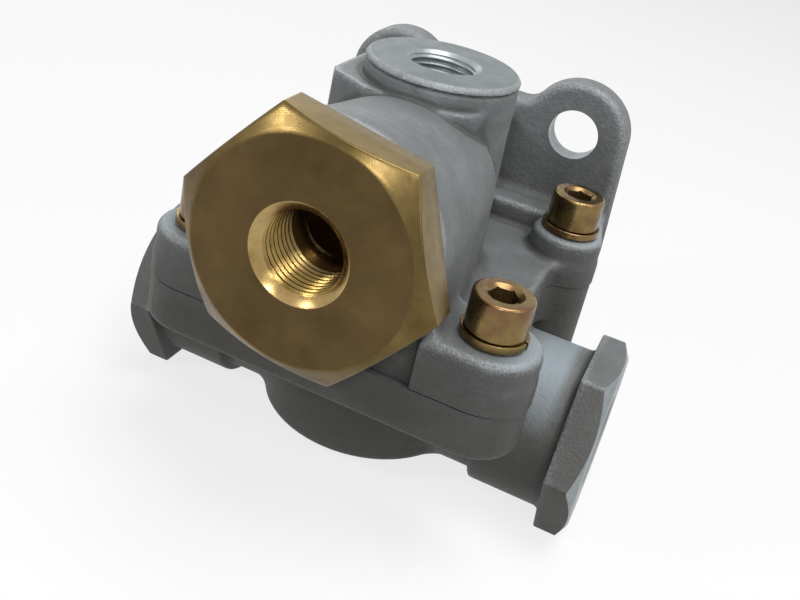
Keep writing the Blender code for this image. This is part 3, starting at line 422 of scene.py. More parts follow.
def arcPoints(centreX, centreY, radius, start, end, steps):
    points = []
    for index in range(steps + 1):
        angle = math.radians(start + (end - start) * index / steps)
        points.append((centreX + radius * math.cos(angle), centreY + radius * math.sin(angle)))
    return points


def mirroredOutline(points):
    return points + [(-x, y) for x, y in reversed(points)]


# The two castings' shapes.

frontLug = 10.8
rearLug = 9.0
waistFillet = 6.0
barrelFace = -48.0

# What a user would change about the castings.
casting = {
    "step": 0.55,
    "triangles": 150000,
    "colour": "#838788",
    "shadowColour": "#717475",
    "blotchColour": "#646768",
    # painted shade low down and on faces that don't face up
    "underShadeColour": "#444039",
    # painted highlight on the tops of the side ports' necks
    "neckHighlightColour": "#9aa5ac",
    "speckColour": "#45484a",
    # painted shade in hollows
    "hollowShadeColour": "#3c3c3b",
    "rubbedColour": "#b4b9ba",
    "grain": 0.55,
}
valveCover = {
    "flangeTop": 6.0,
    "flangeInset": 0.25,
    "lugTop": 11.9,
    "saddleTop": 26.0,
    "barrelFrontRadius": 24.3,
    "barrelRearRadius": 20.5,
    "barrelRear": -4.0,
    "towerTop": 47.2,
    "columnFootRadius": 19.55,
    "columnHeadRadius": 17.35,
    "wallRadius": 17.6,
    "rimRadius": 17.9,
    "rimBottom": 51.0,
    "rimGrooveRadius": 16.9,
    "webLow": (-7.5, 3.3, 3.6),
    "webHigh": (7.5, 50.0, 33.0),
    "plateBack": 56.0,
    "earRadius": 13.7,
    "earFillet": 5.0,
    "fillet": 2.6,
    "screwHole": 4.5,
    "topThread": (14.6, 16.0, 1.5),
}
valveBody = {
    "flangeBottom": -11.0,
    "cupRadius": 25.4,
    "cupBottom": -37.2,
    "shoulderRadius": 33.0,
    "postBottom": -23.0,
    "rootRadius": 17.2,
    "neckRadius": 19.2,
    "collarInner": 50.9,
    "screwHole": 4.3,
    "portThread": (20.4, 22.0, 1.5),
    "collarChamfer": 30.0,
}


def barrelRadius(y):
    front = valveCover["barrelFrontRadius"]
    rear = valveCover["barrelRearRadius"]
    end = valveCover["barrelRear"]
    return rear + (front - rear) * (y - end) / (barrelFace - end)


def flangeOutline(inset, start):
    # Plan of a flange: two front lugs, two rear ones and a waist at each side.
    half = []
    for radius, sign, first in ((frontLug, -1, start), (rearLug, 1, -90.0)):
        radius -= inset
        rise = math.sqrt((radius + waistFillet) ** 2 - waistFillet ** 2)
        meet = math.degrees(math.atan2(rise, waistFillet))
        quarter = arcPoints(screwX, -screwY, radius, first, meet, 14)
        quarter += arcPoints(
            screwX + waistFillet, -screwY + rise, waistFillet, meet + 180.0, 180.0, 8)[1:]
        half.append([(x, -sign * y) for x, y in quarter])
    return mirroredOutline(half[0] + half[1][::-1])


def frontLugOutline(side):
    nose = -screwY - frontLug
    edge = barrelRadius(nose) - 2.0
    points = [(edge, nose)]
    points += arcPoints(screwX, -screwY, frontLug, -90.0, 90.0, 22)
    points.append((12.0, -screwY + frontLug))
    points.append((12.0, -40.5))
    points.append((edge, -40.5))
    return [(side * x, y) for x, y in points]


def rearBlockOutline():
    wallFront = plateFront - 9.0
    meet = math.degrees(math.asin((wallFront - screwY) / rearLug))
    right = arcPoints(screwX, screwY, rearLug, -180.0 - meet, 0.0, 26)
    right.append((holeSpacing / 2 + valveCover["earRadius"], plateFront + 3.0))
    return mirroredOutline(right)


def plateOutline():
    # Front view of the mounting plate, counted from the parting plane.
    ear = holeSpacing / 2
    radius = valveCover["earRadius"]
    fillet = valveCover["earFillet"]
    saddleRise = 10.0
    filletX = ear - math.sqrt((radius + fillet) ** 2 - saddleRise ** 2)
    meet = math.degrees(math.atan2(saddleRise, filletX - ear))
    right = [(ear + radius + 2.0, -12.0)]
    right += arcPoints(ear, holesAboveParting, radius, 0.0, meet, 28)
    right += arcPoints(
        filletX, holesAboveParting + saddleRise, fillet, meet - 180.0, -90.0, 10)[1:]
    return mirroredOutline(right)


def coverField(x, y, z):
    # Upper casting as it comes from its mould. It runs on below the parting plane, where it is cut.
    sizes = valveCover
    under = -8.0
    inset = sizes["flangeInset"]
    start = -math.degrees(math.asin((frontLug - 2.0) / (frontLug - inset)))
    flange = polygonField(flangeOutline(inset, start), x, y)
    field = slabField(flange, z, under, sizes["flangeTop"], 1.4)
    for side in (-1, 1):
        outline = polygonField(frontLugOutline(side), x, y)
        field = join(field, slabField(outline, z, under, sizes["lugTop"], 1.9), 1.5)
    rear = slabField(polygonField(rearBlockOutline(), x, y), z, under, sizes["lugTop"], 1.7)
    field = join(field, rear, 1.5)
    front = -40.4
    end = sizes["barrelRear"]
    saddle = mirroredOutline([(barrelRadius(front) - 0.2, front), (20.3, end)])
    upper = slabField(polygonField(saddle, x, y), z, under, sizes["saddleTop"], 0.8)
    flatter = 1.0 + 0.1 * numpy.clip((y + 46.0) / 34.0, 0.0, 1.0)  # its top sinks to the column
    rise = numpy.where(z > barrelHeight, (z - barrelHeight) * flatter, z - barrelHeight)
    barrel = coneField(x, rise, y, barrelFace, end, sizes["barrelFrontRadius"],
                       sizes["barrelRearRadius"], 1.0)
    upper = join(upper, barrel)
    towerPlan = [(-21.6, 15.0), (-21.6, -7.0), (-20.6, -9.2), (-11.0, -14.3)]
    towerPlan += arcPoints(5.4, -5.1, 9.2, -90.0, -8.0, 12) + [(14.6, 15.0)]
    tower = slabField(polygonField(towerPlan, x, y), z, 0.0, sizes["towerTop"], 0.45)
    upper = join(upper, tower, 0.7)
    upper = join(upper, columnField(x, y - columnSetback, z, under), 0.35)
    field = join(field, upper, sizes["fillet"])
    field = join(field, boxField(x, y, z, sizes["webLow"], sizes["webHigh"], 1.0), 3.0)
    outline = polygonField(plateOutline(), x, z)
    plate = slabField(outline, y, plateFront, sizes["plateBack"], 2.0)
    return join(field, plate, 3.0)


def columnField(x, y, z, under):
    # Upright column with a fine groove under the rim of its top port.
    sizes = valveCover
    shaft = coneField(x, y, z, under, 47.0, sizes["columnFootRadius"], sizes["columnHeadRadius"],
                      0.2)
    wall = coneField(x, y, z, 40.0, 50.4, sizes["wallRadius"], sizes["wallRadius"], 0.3)
    groove = coneField(x, y, z, 45.0, 52.0, sizes["rimGrooveRadius"], sizes["rimGrooveRadius"],
                       0.2)
    rim = coneField(x, y, z, 50.0, 56.0, sizes["rimRadius"], sizes["rimRadius"], 0.2)
    top = coneField(x, y, z, 40.0, 52.75, sizes["rimRadius"], sizes["rimRadius"], 2.1)
    rim = numpy.maximum(numpy.maximum(rim, top), sizes["rimBottom"] - z)
    return join(join(join(shaft, wall, 0.2), groove), rim)


def bodyField(x, y, z):
    # Lower casting as it comes from its mould. It runs on above the parting plane.
    sizes = valveBody
    flange = polygonField(flangeOutline(0.0, -90.0), x, y)
    field = slabField(flange, z, sizes["flangeBottom"], 8.0, 1.8)
    radius = sizes["cupRadius"]
    shoulder = coneField(x, y, z, -20.0, -6.0, radius, sizes["shoulderRadius"], 0.5)
    cup = coneField(x, y, z, sizes["cupBottom"], -4.0, radius, radius, 1.7)
    cup = join(cup, shoulder, 2.0)
    for side in (-1, 1):
        post = coneField(x - side * screwX, y - screwY, z, sizes["postBottom"], 0.0, rearLug,
                         rearLug, 1.6)
        field = join(field, post)
    field = join(field, cup, 2.2)
    sideways = numpy.abs(x)
    depth = z + portDepth
    root = coneField(y, depth, sideways, -5.0, 34.0, sizes["rootRadius"], sizes["rootRadius"], 0.5)
    neck = coneField(y, depth, sideways, 33.0, 55.0, sizes["neckRadius"], sizes["neckRadius"], 0.8)
    field = join(field, join(root, neck, 1.0), 2.2)
    flats = []
    for angle in (0.0, math.radians(60.0), math.radians(120.0)):
        away = numpy.abs(y * math.sin(angle) + depth * math.cos(angle))
        flats.append(away - collarHalfFlats)
    hexagon = numpy.maximum(numpy.maximum(flats[0], flats[1]), flats[2])
    collar = slabField(hexagon, sideways, sizes["collarInner"], 60.0, 0.4)
    return join(field, collar, 1.2)


print("shapes ready")


# Materials.

def addNode(tree, kind, inputs=None, **settings):
    # Add a node, set it, and link or set its inputs.
    node = tree.nodes.new(kind)
    for name, value in settings.items():
        setattr(node, name, value)
    for key, value in (inputs or {}).items():
        if isinstance(value, bpy.types.NodeSocket):
            tree.links.new(value, node.inputs[key])
        else:
            node.inputs[key].default_value = value
    return node


def startMaterial(name, metallic, roughness):
    material = bpy.data.materials.new(name)
    material.use_nodes = True
    tree = material.node_tree
    shader = tree.nodes["Principled BSDF"]
    shader.inputs["Metallic"].default_value = metallic
    shader.inputs["Roughness"].default_value = roughness
    coords = addNode(tree, "ShaderNodeTexCoord").outputs["Object"]
    return material, tree, shader, coords


def grains(tree, coords, *rows):
    # Noise for each row: width of a grain in millimetres, detail and roughness.
    fields = []
    for millimetres, detail, roughness in rows:
        inputs = {"Vector": coords, "Scale": 1.0 / (millimetres * mm), "Detail": detail,
                  "Roughness": roughness}
        fields.append(addNode(tree, "ShaderNodeTexNoise", inputs).outputs[0])
    return fields


def masks(tree, *rows):
    # Mask for each row: a value, the two levels it runs between, and what it gives at them.
    found = []
    for value, low, high, start, end in rows:
        inputs = {"Value": value, "From Min": low, "From Max": high, "To Min": start,
                  "To Max": end}
        found.append(addNode(tree, "ShaderNodeMapRange", inputs).outputs[0])
    return found


def overlap(tree, *found):
    # Where all of these masks lie at once.
    share = found[0]
    for mask in found[1:]:
        share = addNode(tree, "ShaderNodeMath", {0: share, 1: mask},
                        operation="MULTIPLY").outputs[0]
    return share


def layers(tree, base, *rows):
    # Colour with others laid over it, each row a mask and a hex value.
    for mask, colour in rows:
        base = addNode(tree, "ShaderNodeMix", {0: mask, 6: base, 7: linear(colour)},
                       data_type="RGBA").outputs[2]
    return base


def finishSurface(tree, shader, base, roughness, height, depth, strength=1.0):
    # Join the shader's colour, roughness and a relief whose depth is in millimetres.
    inputs = {"Height": height, "Distance": depth * mm, "Strength": strength}
    bump = addNode(tree, "ShaderNodeBump", inputs).outputs[0]
    for socket, name in ((base, "Base Color"), (roughness, "Roughness"), (bump, "Normal")):
        tree.links.new(socket, shader.inputs[name])


def castAluminium():
    # Shot-blasted casting: fine grain, cloudy grey, rubbed bright on its edges.
    material, tree, shader, coords = startMaterial("cast_aluminium", 0.16, 0.5)
    shader.inputs["Specular IOR Level"].default_value = 0.3
    cloud, blotch, grain, coarse = grains(tree, coords, (14.0, 3.0, 0.55), (2.6, 4.0, 0.65),
                                          (0.55, 3.0, 0.65), (1.3, 3.0, 0.55))
    wearAndShade = addNode(tree, "ShaderNodeAttribute", attribute_name="wearAndShade").outputs["Fac"]
    raised = addNode(tree, "ShaderNodeMath", {0: grain, 1: 1.3, 2: wearAndShade},
                     operation="MULTIPLY_ADD").outputs[0]
    spot = addNode(tree, "ShaderNodeSeparateXYZ", {"Vector": coords}).outputs
    normal = addNode(tree, "ShaderNodeNewGeometry").outputs["Normal"]
    facingUp = addNode(tree, "ShaderNodeSeparateXYZ", {"Vector": normal}).outputs["Z"]
    outward = addNode(tree, "ShaderNodeMath", {0: spot["X"]}, operation="ABSOLUTE").outputs[0]
    # Painted shade: lower down and on faces that don't face up, the grey darkens to a brownish dark
    # and the rubbed edges dim, standing in for the light that reaches there less.
    low = overlap(tree, *masks(
        tree, (spot["Z"], -0.002, -0.036, 0.0, 1.0), (facingUp, 0.3, 0.95, 1.0, 0.2)))
    # Painted highlight: the upward-facing tops of the side ports' necks are made lighter and bluer,
    # standing in for a reflection of the light from above.
    neck = overlap(tree, *masks(
        tree, (outward, 0.035, 0.041, 0.0, 1.0), (outward, 0.0485, 0.0465, 0.0, 1.0),
        (spot["Z"], -0.003, -0.006, 0.0, 1.0), (facingUp, 0.3, 0.95, 0.0, 0.8)))
    rubbed = overlap(tree, *masks(tree, (raised, 0.83, 1.15, 0.0, 1.0), (low, 0.0, 1.0, 1.0, 0.3)))
    # Painted shade: hollows, where the stored value falls below zero, darken towards near black.
    cloudy, blotchy, underShade, speckled, hollowShade, bright, dull = masks(
        tree, (cloud, 0.35, 0.65, 0.0, 1.0), (blotch, 0.3, 0.7, 0.0, 0.5),
        (low, 0.0, 1.0, 0.0, 0.75), (grain, 0.38, 0.3, 0.0, 0.4), (wearAndShade, -0.06, -0.3, 0.0, 0.7),
        (rubbed, 0.0, 1.0, 0.0, 0.42), (grain, 0.3, 0.7, 0.44, 0.62))
    base = layers(tree, linear(casting["shadowColour"]), (cloudy, casting["colour"]),
                  (blotchy, casting["blotchColour"]), (underShade, casting["underShadeColour"]),
                  (neck, casting["neckHighlightColour"]), (speckled, casting["speckColour"]),
                  (hollowShade, casting["hollowShadeColour"]), (bright, casting["rubbedColour"]))
    roughness = addNode(tree, "ShaderNodeMath", {0: rubbed, 1: -0.16, 2: dull},
                        operation="MULTIPLY_ADD").outputs[0]
    height = addNode(tree, "ShaderNodeMath", {0: coarse, 1: 0.7, 2: grain},
                     operation="MULTIPLY_ADD").outputs[0]
    finishSurface(tree, shader, base, roughness, height, 0.35, casting["grain"])
    return material


def turnedMetal(name, colour, darkColour, axis, centre, pitch, metallic=1.0, roughness=0.3,
                depth=0.006, stain=3.0, streaks=0.0):
    # Metal with the fine rings that a lathe leaves round an axis.
    material, tree, shader, coords = startMaterial(name, metallic, roughness)
    moved = addNode(tree, "ShaderNodeMapping", {"Vector": coords, "Location": -centre}).outputs[0]
    rings = []
    for share, distortion, finer in ((1.0, 0.6, 1.5), (0.37, 1.4, 2.0)):
        rings.append(addNode(tree, "ShaderNodeTexWave", {
            "Vector": moved, "Scale": 0.314 / (pitch * share * mm), "Distortion": distortion,
            "Detail": 2.0, "Detail Scale": finer}, wave_type="RINGS",
            rings_direction=axis).outputs[1])
    cloud, spots = grains(tree, coords, (stain * 2.5, 4.0, 0.6), (stain, 5.0, 0.7))
    coarse = addNode(tree, "ShaderNodeMath", {0: rings[0], 1: 0.6}, operation="MULTIPLY")
    lay = addNode(tree, "ShaderNodeMath", {0: rings[1], 1: 0.4, 2: coarse.outputs[0]},
                  operation="MULTIPLY_ADD").outputs[0]
    cloudy, spotted, ringed, dull = masks(
        tree, (cloud, 0.3, 0.7, 0.0, 1.0), (spots, 0.5, 0.8, 0.0, 0.5), (lay, 0.0, 1.0, 0.0, 0.22),
        (spots, 0.3, 0.75, roughness - 0.06, roughness + 0.12))
    base = layers(tree, linear(darkColour), (cloudy, colour), (spotted, darkColour),
                  (ringed, darkColour))
    finishSurface(tree, shader, base, dull, lay, depth)
    if streaks:
        shader.inputs["Anisotropic"].default_value = streaks
        tangent = addNode(tree, "ShaderNodeTangent", direction_type="RADIAL", axis=axis)
        tree.links.new(tangent.outputs[0], shader.inputs["Tangent"])
    return material


def milledMetal(name, colour, darkColour, direction, pitch, metallic=1.0, roughness=0.35):
    # Metal with the faint straight marks of a cutter or a drawn bar.
    material, tree, shader, coords = startMaterial(name, metallic, roughness)
    marks = addNode(tree, "ShaderNodeTexWave", {
        "Vector": coords, "Scale": 0.314 / (pitch * mm), "Distortion": 2.2, "Detail": 3.0,
        "Detail Scale": 1.4}, wave_type="BANDS", bands_direction=direction).outputs[1]
    cloud, spots = grains(tree, coords, (6.0, 4.0, 0.6), (1.4, 5.0, 0.7))
    cloudy, spotted, dull = masks(
        tree, (cloud, 0.3, 0.7, 0.0, 1.0), (spots, 0.52, 0.78, 0.0, 0.45),
        (spots, 0.3, 0.75, roughness - 0.08, roughness + 0.12))
    base = layers(tree, linear(darkColour), (cloudy, colour), (spotted, darkColour))
    finishSurface(tree, shader, base, dull, marks, 0.006)
    return material


def zincPlate():
    # Yellow passivated zinc: bright, with a faint shift of hue from gold to rose.
    material, tree, shader, coords = startMaterial("yellow_zinc", 1.0, 0.24)
    cloud, streak, fine = grains(tree, coords, (5.0, 3.0, 0.55), (1.2, 4.0, 0.65),
                                 (0.5, 3.0, 0.6))
    rosy, streaked, dull = masks(tree, (cloud, 0.38, 0.62, 0.0, 1.0),
                                 (streak, 0.45, 0.75, 0.0, 0.55), (streak, 0.3, 0.7, 0.2, 0.36))
    base = layers(tree, linear(screws["colour"]), (rosy, screws["roseColour"]),
                  (streaked, screws["streakColour"]))
    finishSurface(tree, shader, base, dull, fine, 0.012)
    return material


def softMaterial(name, colour, darkColour, roughness, grain):
    # Moulded rubber or plastic: faint mottling and a fine skin.
    material, tree, shader, coords = startMaterial(name, 0.0, roughness)
    cloud, skin = grains(tree, coords, (4.0, 4.0, 0.6), (grain, 3.0, 0.6))
    cloudy, dull = masks(tree, (cloud, 0.3, 0.7, 0.0, 1.0),
                         (skin, 0.3, 0.7, roughness - 0.08, roughness + 0.1))
    base = layers(tree, linear(darkColour), (cloudy, colour))
    finishSurface(tree, shader, base, dull, skin, 0.02)
    return material


def shadeInwards(material, mouth, start, end, colour):
    # Painted shade: dull a bore's colour with its depth behind the mouth, where little light
    # reaches.
    tree = material.node_tree
    base = tree.nodes["Principled BSDF"].inputs["Base Color"]
    coords = addNode(tree, "ShaderNodeTexCoord").outputs["Object"]
    depth = addNode(tree, "ShaderNodeSeparateXYZ", {"Vector": coords}).outputs["Y"]
    deep = masks(tree, (depth, mouth.y + start * mm, mouth.y + end * mm, 0.0, 1.0))[0]
    tree.links.new(layers(tree, base.links[0].from_socket, (deep, colour)), base)


adapterCentre = place(0.0, -58.5, barrelHeight)
portCentre = place(portFace, 0.0, -portDepth)
columnCentre = place(0.0, columnSetback, columnTop)
valveCentre = place(*valveAxis)
print("materials ready")


# The two castings and the surfaces cut into them.

castMaterial = castAluminium()
machinedUpright = turnedMetal("machined_aluminium_upright", "#a3a8aa", "#83898c", "Z",
                              columnCentre, 0.3, 0.75, 0.36)
machinedTop = turnedMetal("machined_aluminium_top", "#7b8284", "#697072", "Z",
                          columnCentre, 0.3, 0.15, 0.55)
machinedSide = turnedMetal("machined_aluminium_sideways", "#a0a6a8", "#7f8588", "X",
                           portCentre, 0.35, 0.75, 0.36)
machinedFront = turnedMetal("machined_aluminium_front", "#aab0b2", "#878d90", "Y",
                            adapterCentre, 0.35, 0.75, 0.36)
milledFlat = milledMetal("machined_aluminium_flat", "#a3a8aa", "#868c8f", "X", 0.6, 0.75, 0.38)


def makeCasting(name, shape, low, high, cutters):
    step = casting["step"]
    x, y, z = makeGrid(low, high, step)
    field = numpy.ascontiguousarray(shape(x, y, z), dtype=numpy.float32)
    mesh = fieldMesh(name, field, low, step)
    piece = newPiece(name, mesh)
    smooth = piece.modifiers.new("smooth", "SMOOTH")
    smooth.iterations = 2
    cut(piece, [])
    settle(piece.data, field, low, step, 2)
    triangles = sum(len(face.vertices) - 2 for face in piece.data.polygons)
    decimate = piece.modifiers.new("fewer", "DECIMATE")
    decimate.ratio = min(1.0, casting["triangles"] / triangles)
    cut(piece, [])
    piece.data.materials.append(castMaterial)
    cut(piece, cutters)
    markWearAndShade(piece.data, field, low, step)
    piece.data.shade_smooth()
    piece.data.set_sharp_from_angle(angle=math.radians(38.0))
    print(name, "made,", triangles, "triangles before,", len(piece.data.polygons), "faces now")
    return piece


def hole(profile, origin, turn, material, columns=128):
    # Cutter for a stepped hole: (radius, depth) pairs from its mouth inwards.
    end = profile[-1][1]
    outline = [(onAxis, -4.0), (profile[0][0], -4.0)] + profile + [(onAxis, end)]
    return turnedMesh("hole", outline, origin, turn, columns), material


def pin(name, radius, low, high, origin=valveAxis, columns=64):
    # Upright cylinder between two heights.
    profile = [(onAxis, low), (radius, low), (radius, high), (onAxis, high)]
    return turnedMesh(name, profile, origin, "up", columns)


def screwHoles(radius, low, high):
    holes = []
    for x in (-screwX, screwX):
        for y in (-screwY, screwY):
            holes.append((pin("hole", radius, low, high, (x, y, 0.0)), castMaterial))
    return holes


def coverCutters():
    topPort = (0.0, columnSetback, columnTop)
    minor, major, pitch = valveCover["topThread"]
    far = 90.0
    cutters = [
        (boxMesh("below", (-far, -far, -60.0), (far, far, seamGap / 2)), milledFlat),
        (boxMesh("behind", (-far, axisToMount, -60.0), (far, 80.0, far)), milledFlat),
        (boxMesh("above", (-30.0, -20.0, columnTop), (30.0, 30.0, 70.0)), machinedTop),
        hole([(16.6, 0.0), (16.6, 2.8), (15.3, 2.8), (15.3, 14.0), (14.0, 14.0), (14.0, 39.0),
              (7.7, 39.0), (7.7, 38.0), (5.5, 38.0), (5.5, 51.3)],
             (0.0, barrelFace, barrelHeight), "back", machinedFront),
        (threadMesh("thread", minor, major, pitch, -2.4, 12.6, topPort, "down"),
         machinedUpright),
        hole([(8.6, 0.0), (7.3, 1.3), (7.3, 14.0), (6.2, 15.1), (6.2, 31.0)], topPort, "down",
             machinedUpright),
        hole([(23.5, 0.0), (23.5, 3.0)], valveAxis, "up", machinedUpright),
    ]
    for side in (-1, 1):
        profile = [(onAxis, -4.0), (10.5, -4.0), (6.5, 0.0), (6.5, 6.6), (10.9, 11.0),
                   (onAxis, 11.0)]
        origin = (side * holeSpacing / 2, plateFront - 0.3, holesAboveParting)
        cutters.append((turnedMesh("hole", profile, origin, "back", 96), machinedFront))
    cutters += screwHoles(valveCover["screwHole"], -5.0, 20.0)
    return cutters


def bodyCutters():
    minor, major, pitch = valveBody["portThread"]
    slope = math.tan(math.radians(valveBody["collarChamfer"]))
    far = 90.0
    cutters = [
        (boxMesh("above", (-far, -far, -seamGap / 2), (far, far, 60.0)), milledFlat),
        (turnedMesh("chamber", [
            (onAxis, 4.0), (23.5, 4.0), (23.5, -9.5), (21.5, -9.5), (21.5, -28.5), (11.5, -28.5),
            (11.5, -5.0), (onAxis, -5.0)], valveAxis, "up"), machinedUpright),
        (turnedMesh("groove", [
            (28.8, 4.0), (28.8, -2.95), (25.7, -2.95), (25.7, 4.0)], valveAxis, "up", 128, True),
         machinedUpright),
        hole([(20.9, 0.0), (20.5, 0.4), (20.5, 6.2)], (0.0, 0.0, valveBody["cupBottom"]), "up",
             machinedUpright),
        (boxMesh("left", (-far, -40.0, -80.0), (-portFace, 40.0, 20.0)), machinedSide),
        (boxMesh("right", (portFace, -40.0, -80.0), (far, 40.0, 20.0)), machinedSide),
        (pin("rivet_hole", 2.0, -40.0, -20.0, valveAxis, 48), machinedUpright),
    ]
    for side, inward, outward in ((-1, "right", "left"), (1, "left", "right")):
        origin = (side * portFace, 0.0, -portDepth)
        cutters.append((threadMesh("thread", minor, major, pitch, -2.4, 13.6, origin, inward),
                        machinedSide))
        cutters.append(hole([(11.6, 0.0), (10.2, 1.4), (10.2, 15.0), (5.8, 17.2), (5.8, 41.7)],
                            origin, inward, machinedSide))
        chamfer = [(20.5, 0.0), (30.5, -10.0 * slope), (30.5, 4.0), (20.5, 4.0)]
        cutters.append((turnedMesh("chamfer", chamfer, origin, outward, 160, True), machinedSide))
    cutters += screwHoles(valveBody["screwHole"], -14.0, 5.0)
    return cutters


def exhaustCutter():
    # Exhaust tube with a three-armed spider left at its lower end.
    tube = newPiece("exhaust", pin("exhaust", 8.5, -31.3, -1.0, valveAxis, 128))
    spider = [(pin("hub", 4.5, -36.0, -26.2), machinedUpright)]
    for arm in range(3):
        bar = boxMesh("arm", (0.0, -1.3, -36.0), (17.0, 1.3, -26.3))
        swing = Matrix.Rotation(math.tau * arm / 3, 4, "Z")
        bar.transform(Matrix.Translation(valveCentre) @ swing @ Matrix.Translation(-valveCentre))
        spider.append((bar, machinedUpright))
    cut(tube, spider)
    mesh = tube.data
    bpy.data.objects.remove(tube, do_unlink=True)
    return mesh, machinedUpright


cover = makeCasting("cover_casting", coverField, (-45.1, -50.5, -2.0), (45.1, 55.0, 54.5),
                    coverCutters())
body = makeCasting("body_casting", bodyField, (-60.5, -44.5, -45.5), (60.5, 43.5, 1.5),
                   bodyCutters() + [exhaustCutter()])


def finish(piece, node, slotName, bodyName="housing"):
    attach(piece, bodyName)
    if node:
        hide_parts(node)


finish(cover, "valve_cover", "cast_aluminium")
finish(body, "valve_body", "cast_aluminium")
print("castings done")


# Brass adapter.

adapter = {
    "acrossFlats": 48.6,
    "thickness": 10.2,
    "cornerTurn": 49.8,
    "faceDiameter": 45.8,
    "chamferAngle": 33.0,
    "edgeRadius": 0.25,
    "thread": (16.4, 18.0, 1.5),
    "faceColour": "#635236",
    "chamferColour": "#77653e",
    "flatColour": "#8d7b56",
}
adapterFace = -58.5

brassFace = turnedMetal("brass_faced", adapter["faceColour"], "#514128", "Y", adapterCentre,
                        0.6, 1.0, 0.32, 0.008, 5.0, 0.8)  # real rings are 0.1 mm apart
brassChamfer = turnedMetal("brass_chamfered", adapter["chamferColour"], "#57472a", "Y",
                           adapterCentre, 0.3, 1.0, 0.25, 0.003, 4.0)
brassFlat = milledMetal("brass_milled", adapter["flatColour"], "#75643f", "Y", 0.5, 1.0, 0.36)
brassMouth = turnedMetal("brass_mouth", "#b9a070", "#93794a", "Y", adapterCentre, 0.25, 1.0, 0.2,
                         0.003)
brassCut = turnedMetal("brass_turned", "#cdb679", "#a38c50", "Y", adapterCentre, 0.2, 1.0, 0.27)
brassThread = turnedMetal("brass_threaded", "#ab9159", "#6f5a30", "Y", adapterCentre, 0.2, 1.0,
                          0.2)
# Painted shade deep in the adapter's thread.
shadeInwards(brassThread, adapterCentre, 8.0, 16.0, "#6b5b3f")


def hexagonRadius(angles, flats, cornerTurn, rounding):
    # Radius of a hexagon with rounded corners in each direction.
    apothem = flats / 2
    away = numpy.radians((numpy.degrees(angles) - cornerTurn + 30.0) % 60.0 - 30.0)
    flat = apothem / numpy.cos(math.radians(30.0) - numpy.abs(away))
    reach = (apothem - rounding) / math.cos(math.radians(30.0))
    limit = math.atan2(rounding * 0.5, reach + rounding * math.cos(math.radians(30.0)))
    inner = numpy.maximum(rounding ** 2 - (reach * numpy.sin(away)) ** 2, 0.0)
    corner = reach * numpy.cos(away) + numpy.sqrt(inner)
    return numpy.where(numpy.abs(away) < limit, corner, flat)


def hexagonAngles(cornerTurn):
    # Directions round a hexagon, close together at its corners.
    near = [-1.5, -1.0, -0.6, -0.3, 0.0, 0.3, 0.6, 1.0, 1.5]
    wide = list(numpy.linspace(3.0, 57.0, 25))
    directions = []
    for corner in range(6):
        for offset in near + wide:
            directions.append(math.radians(cornerTurn + 60.0 * corner + offset))
    return numpy.array(sorted(angle % math.tau for angle in directions))


def makeAdapter():
    flats = adapter["acrossFlats"]
    thickness = adapter["thickness"]
    faceRadius = adapter["faceDiameter"] / 2
    slope = math.tan(math.radians(adapter["chamferAngle"]))
    edge = adapter["edgeRadius"]
    angles = hexagonAngles(adapter["cornerTurn"])
    outer = hexagonRadius(angles, flats, adapter["cornerTurn"], 0.5)
    drop = numpy.maximum(outer - faceRadius, 0.0) * slope
    rows = []

    def addRow(radius, height, finish):
        rows.append((radius + 0.0 * angles, height + 0.0 * angles, finish))

    for radius in (0.5, 6.0, 12.0, 18.0, faceRadius - 1.0, faceRadius - edge):
        addRow(radius, thickness, 0)
    addRow(faceRadius - edge * 0.3, thickness - edge * 0.08, 2)
    addRow(faceRadius + edge * 0.3, thickness - edge * 0.3 * slope - edge * 0.04, 2)
    for way in (0.25, 0.5, 0.75):
        middle = faceRadius + (outer - faceRadius) * way
        addRow(middle, thickness - (middle - faceRadius) * slope, 2)
    for inward, down in ((0.85, 0.0), (0.45, 0.12), (0.12, 0.5), (0.0, 1.0)):
        radius = outer - edge * inward
        addRow(radius, thickness - drop + edge * inward * slope - edge * down, 2)
    for height in (4.0, edge):
        addRow(outer, height, 1)
    addRow(outer - edge * 0.3, edge * 0.3, 1)
    addRow(outer - edge, 0.0, 1)
    for radius, height in ((19.0, 0.0), (13.7, 0.0), (13.7, -3.1), (15.0, -3.1), (15.0, -13.0),
                           (14.0, -14.0), (8.7, -14.0), (8.7, -15.0), (0.5, -15.0)):
        addRow(radius, height, 3)
    points = []
    for radius, height, _ in rows:
        points.append(numpy.stack([
            radius * numpy.cos(angles), radius * numpy.sin(angles), height], axis=1))
    origin = (0.0, -48.3, barrelHeight)
    mesh = gridMesh("brass_adapter", numpy.array(points), origin, "front", 0, thickness, -15.0)
    for material in (brassFace, brassFlat, brassChamfer, brassCut):
        mesh.materials.append(material)
    columns = len(angles)
    finishes = [row[2] for row in rows]
    perRow = numpy.repeat(numpy.array(finishes[1:]), columns - 1).tolist()
    perRow += finishes[1:]
    perRow += [finishes[0]] * columns + [3] * columns
    mesh.polygons.foreach_set("material_index", perRow)
    form = bmesh.new()
    form.from_mesh(mesh)
    bmesh.ops.recalc_face_normals(form, faces=form.faces)
    form.to_mesh(mesh)
    form.free()
    piece = newPiece("brass_adapter", mesh)
    front = (0.0, adapterFace, barrelHeight)
    minor, major, pitch = adapter["thread"]
    cut(piece, [
        (threadMesh("thread", minor, major, pitch, -2.4, 15.0, front, "back"), brassThread),
        hole([(10.25, 0.0), (9.85, 0.25), (8.2, 1.9), (8.2, 14.0), (9.2, 14.0), (9.2, 16.4),
              (6.9, 16.4), (6.5, 16.8), (6.5, 30.0)], front, "back", brassThread),
        (turnedMesh("mouth", [
            (onAxis, -2.0), (10.4, -2.0), (10.4, 0.0), (9.97, 0.25), (8.15, 2.07),
            (onAxis, 2.07)], front, "back"), brassMouth),
    ])
    piece.data.shade_smooth()
    piece.data.set_sharp_from_angle(angle=math.radians(32.0))
    return piece


brass = makeAdapter()
finish(brass, "inlet_adapter", "turned_brass")
print("adapter done")


# Screws, their washers, the exhaust flap and its rivet.

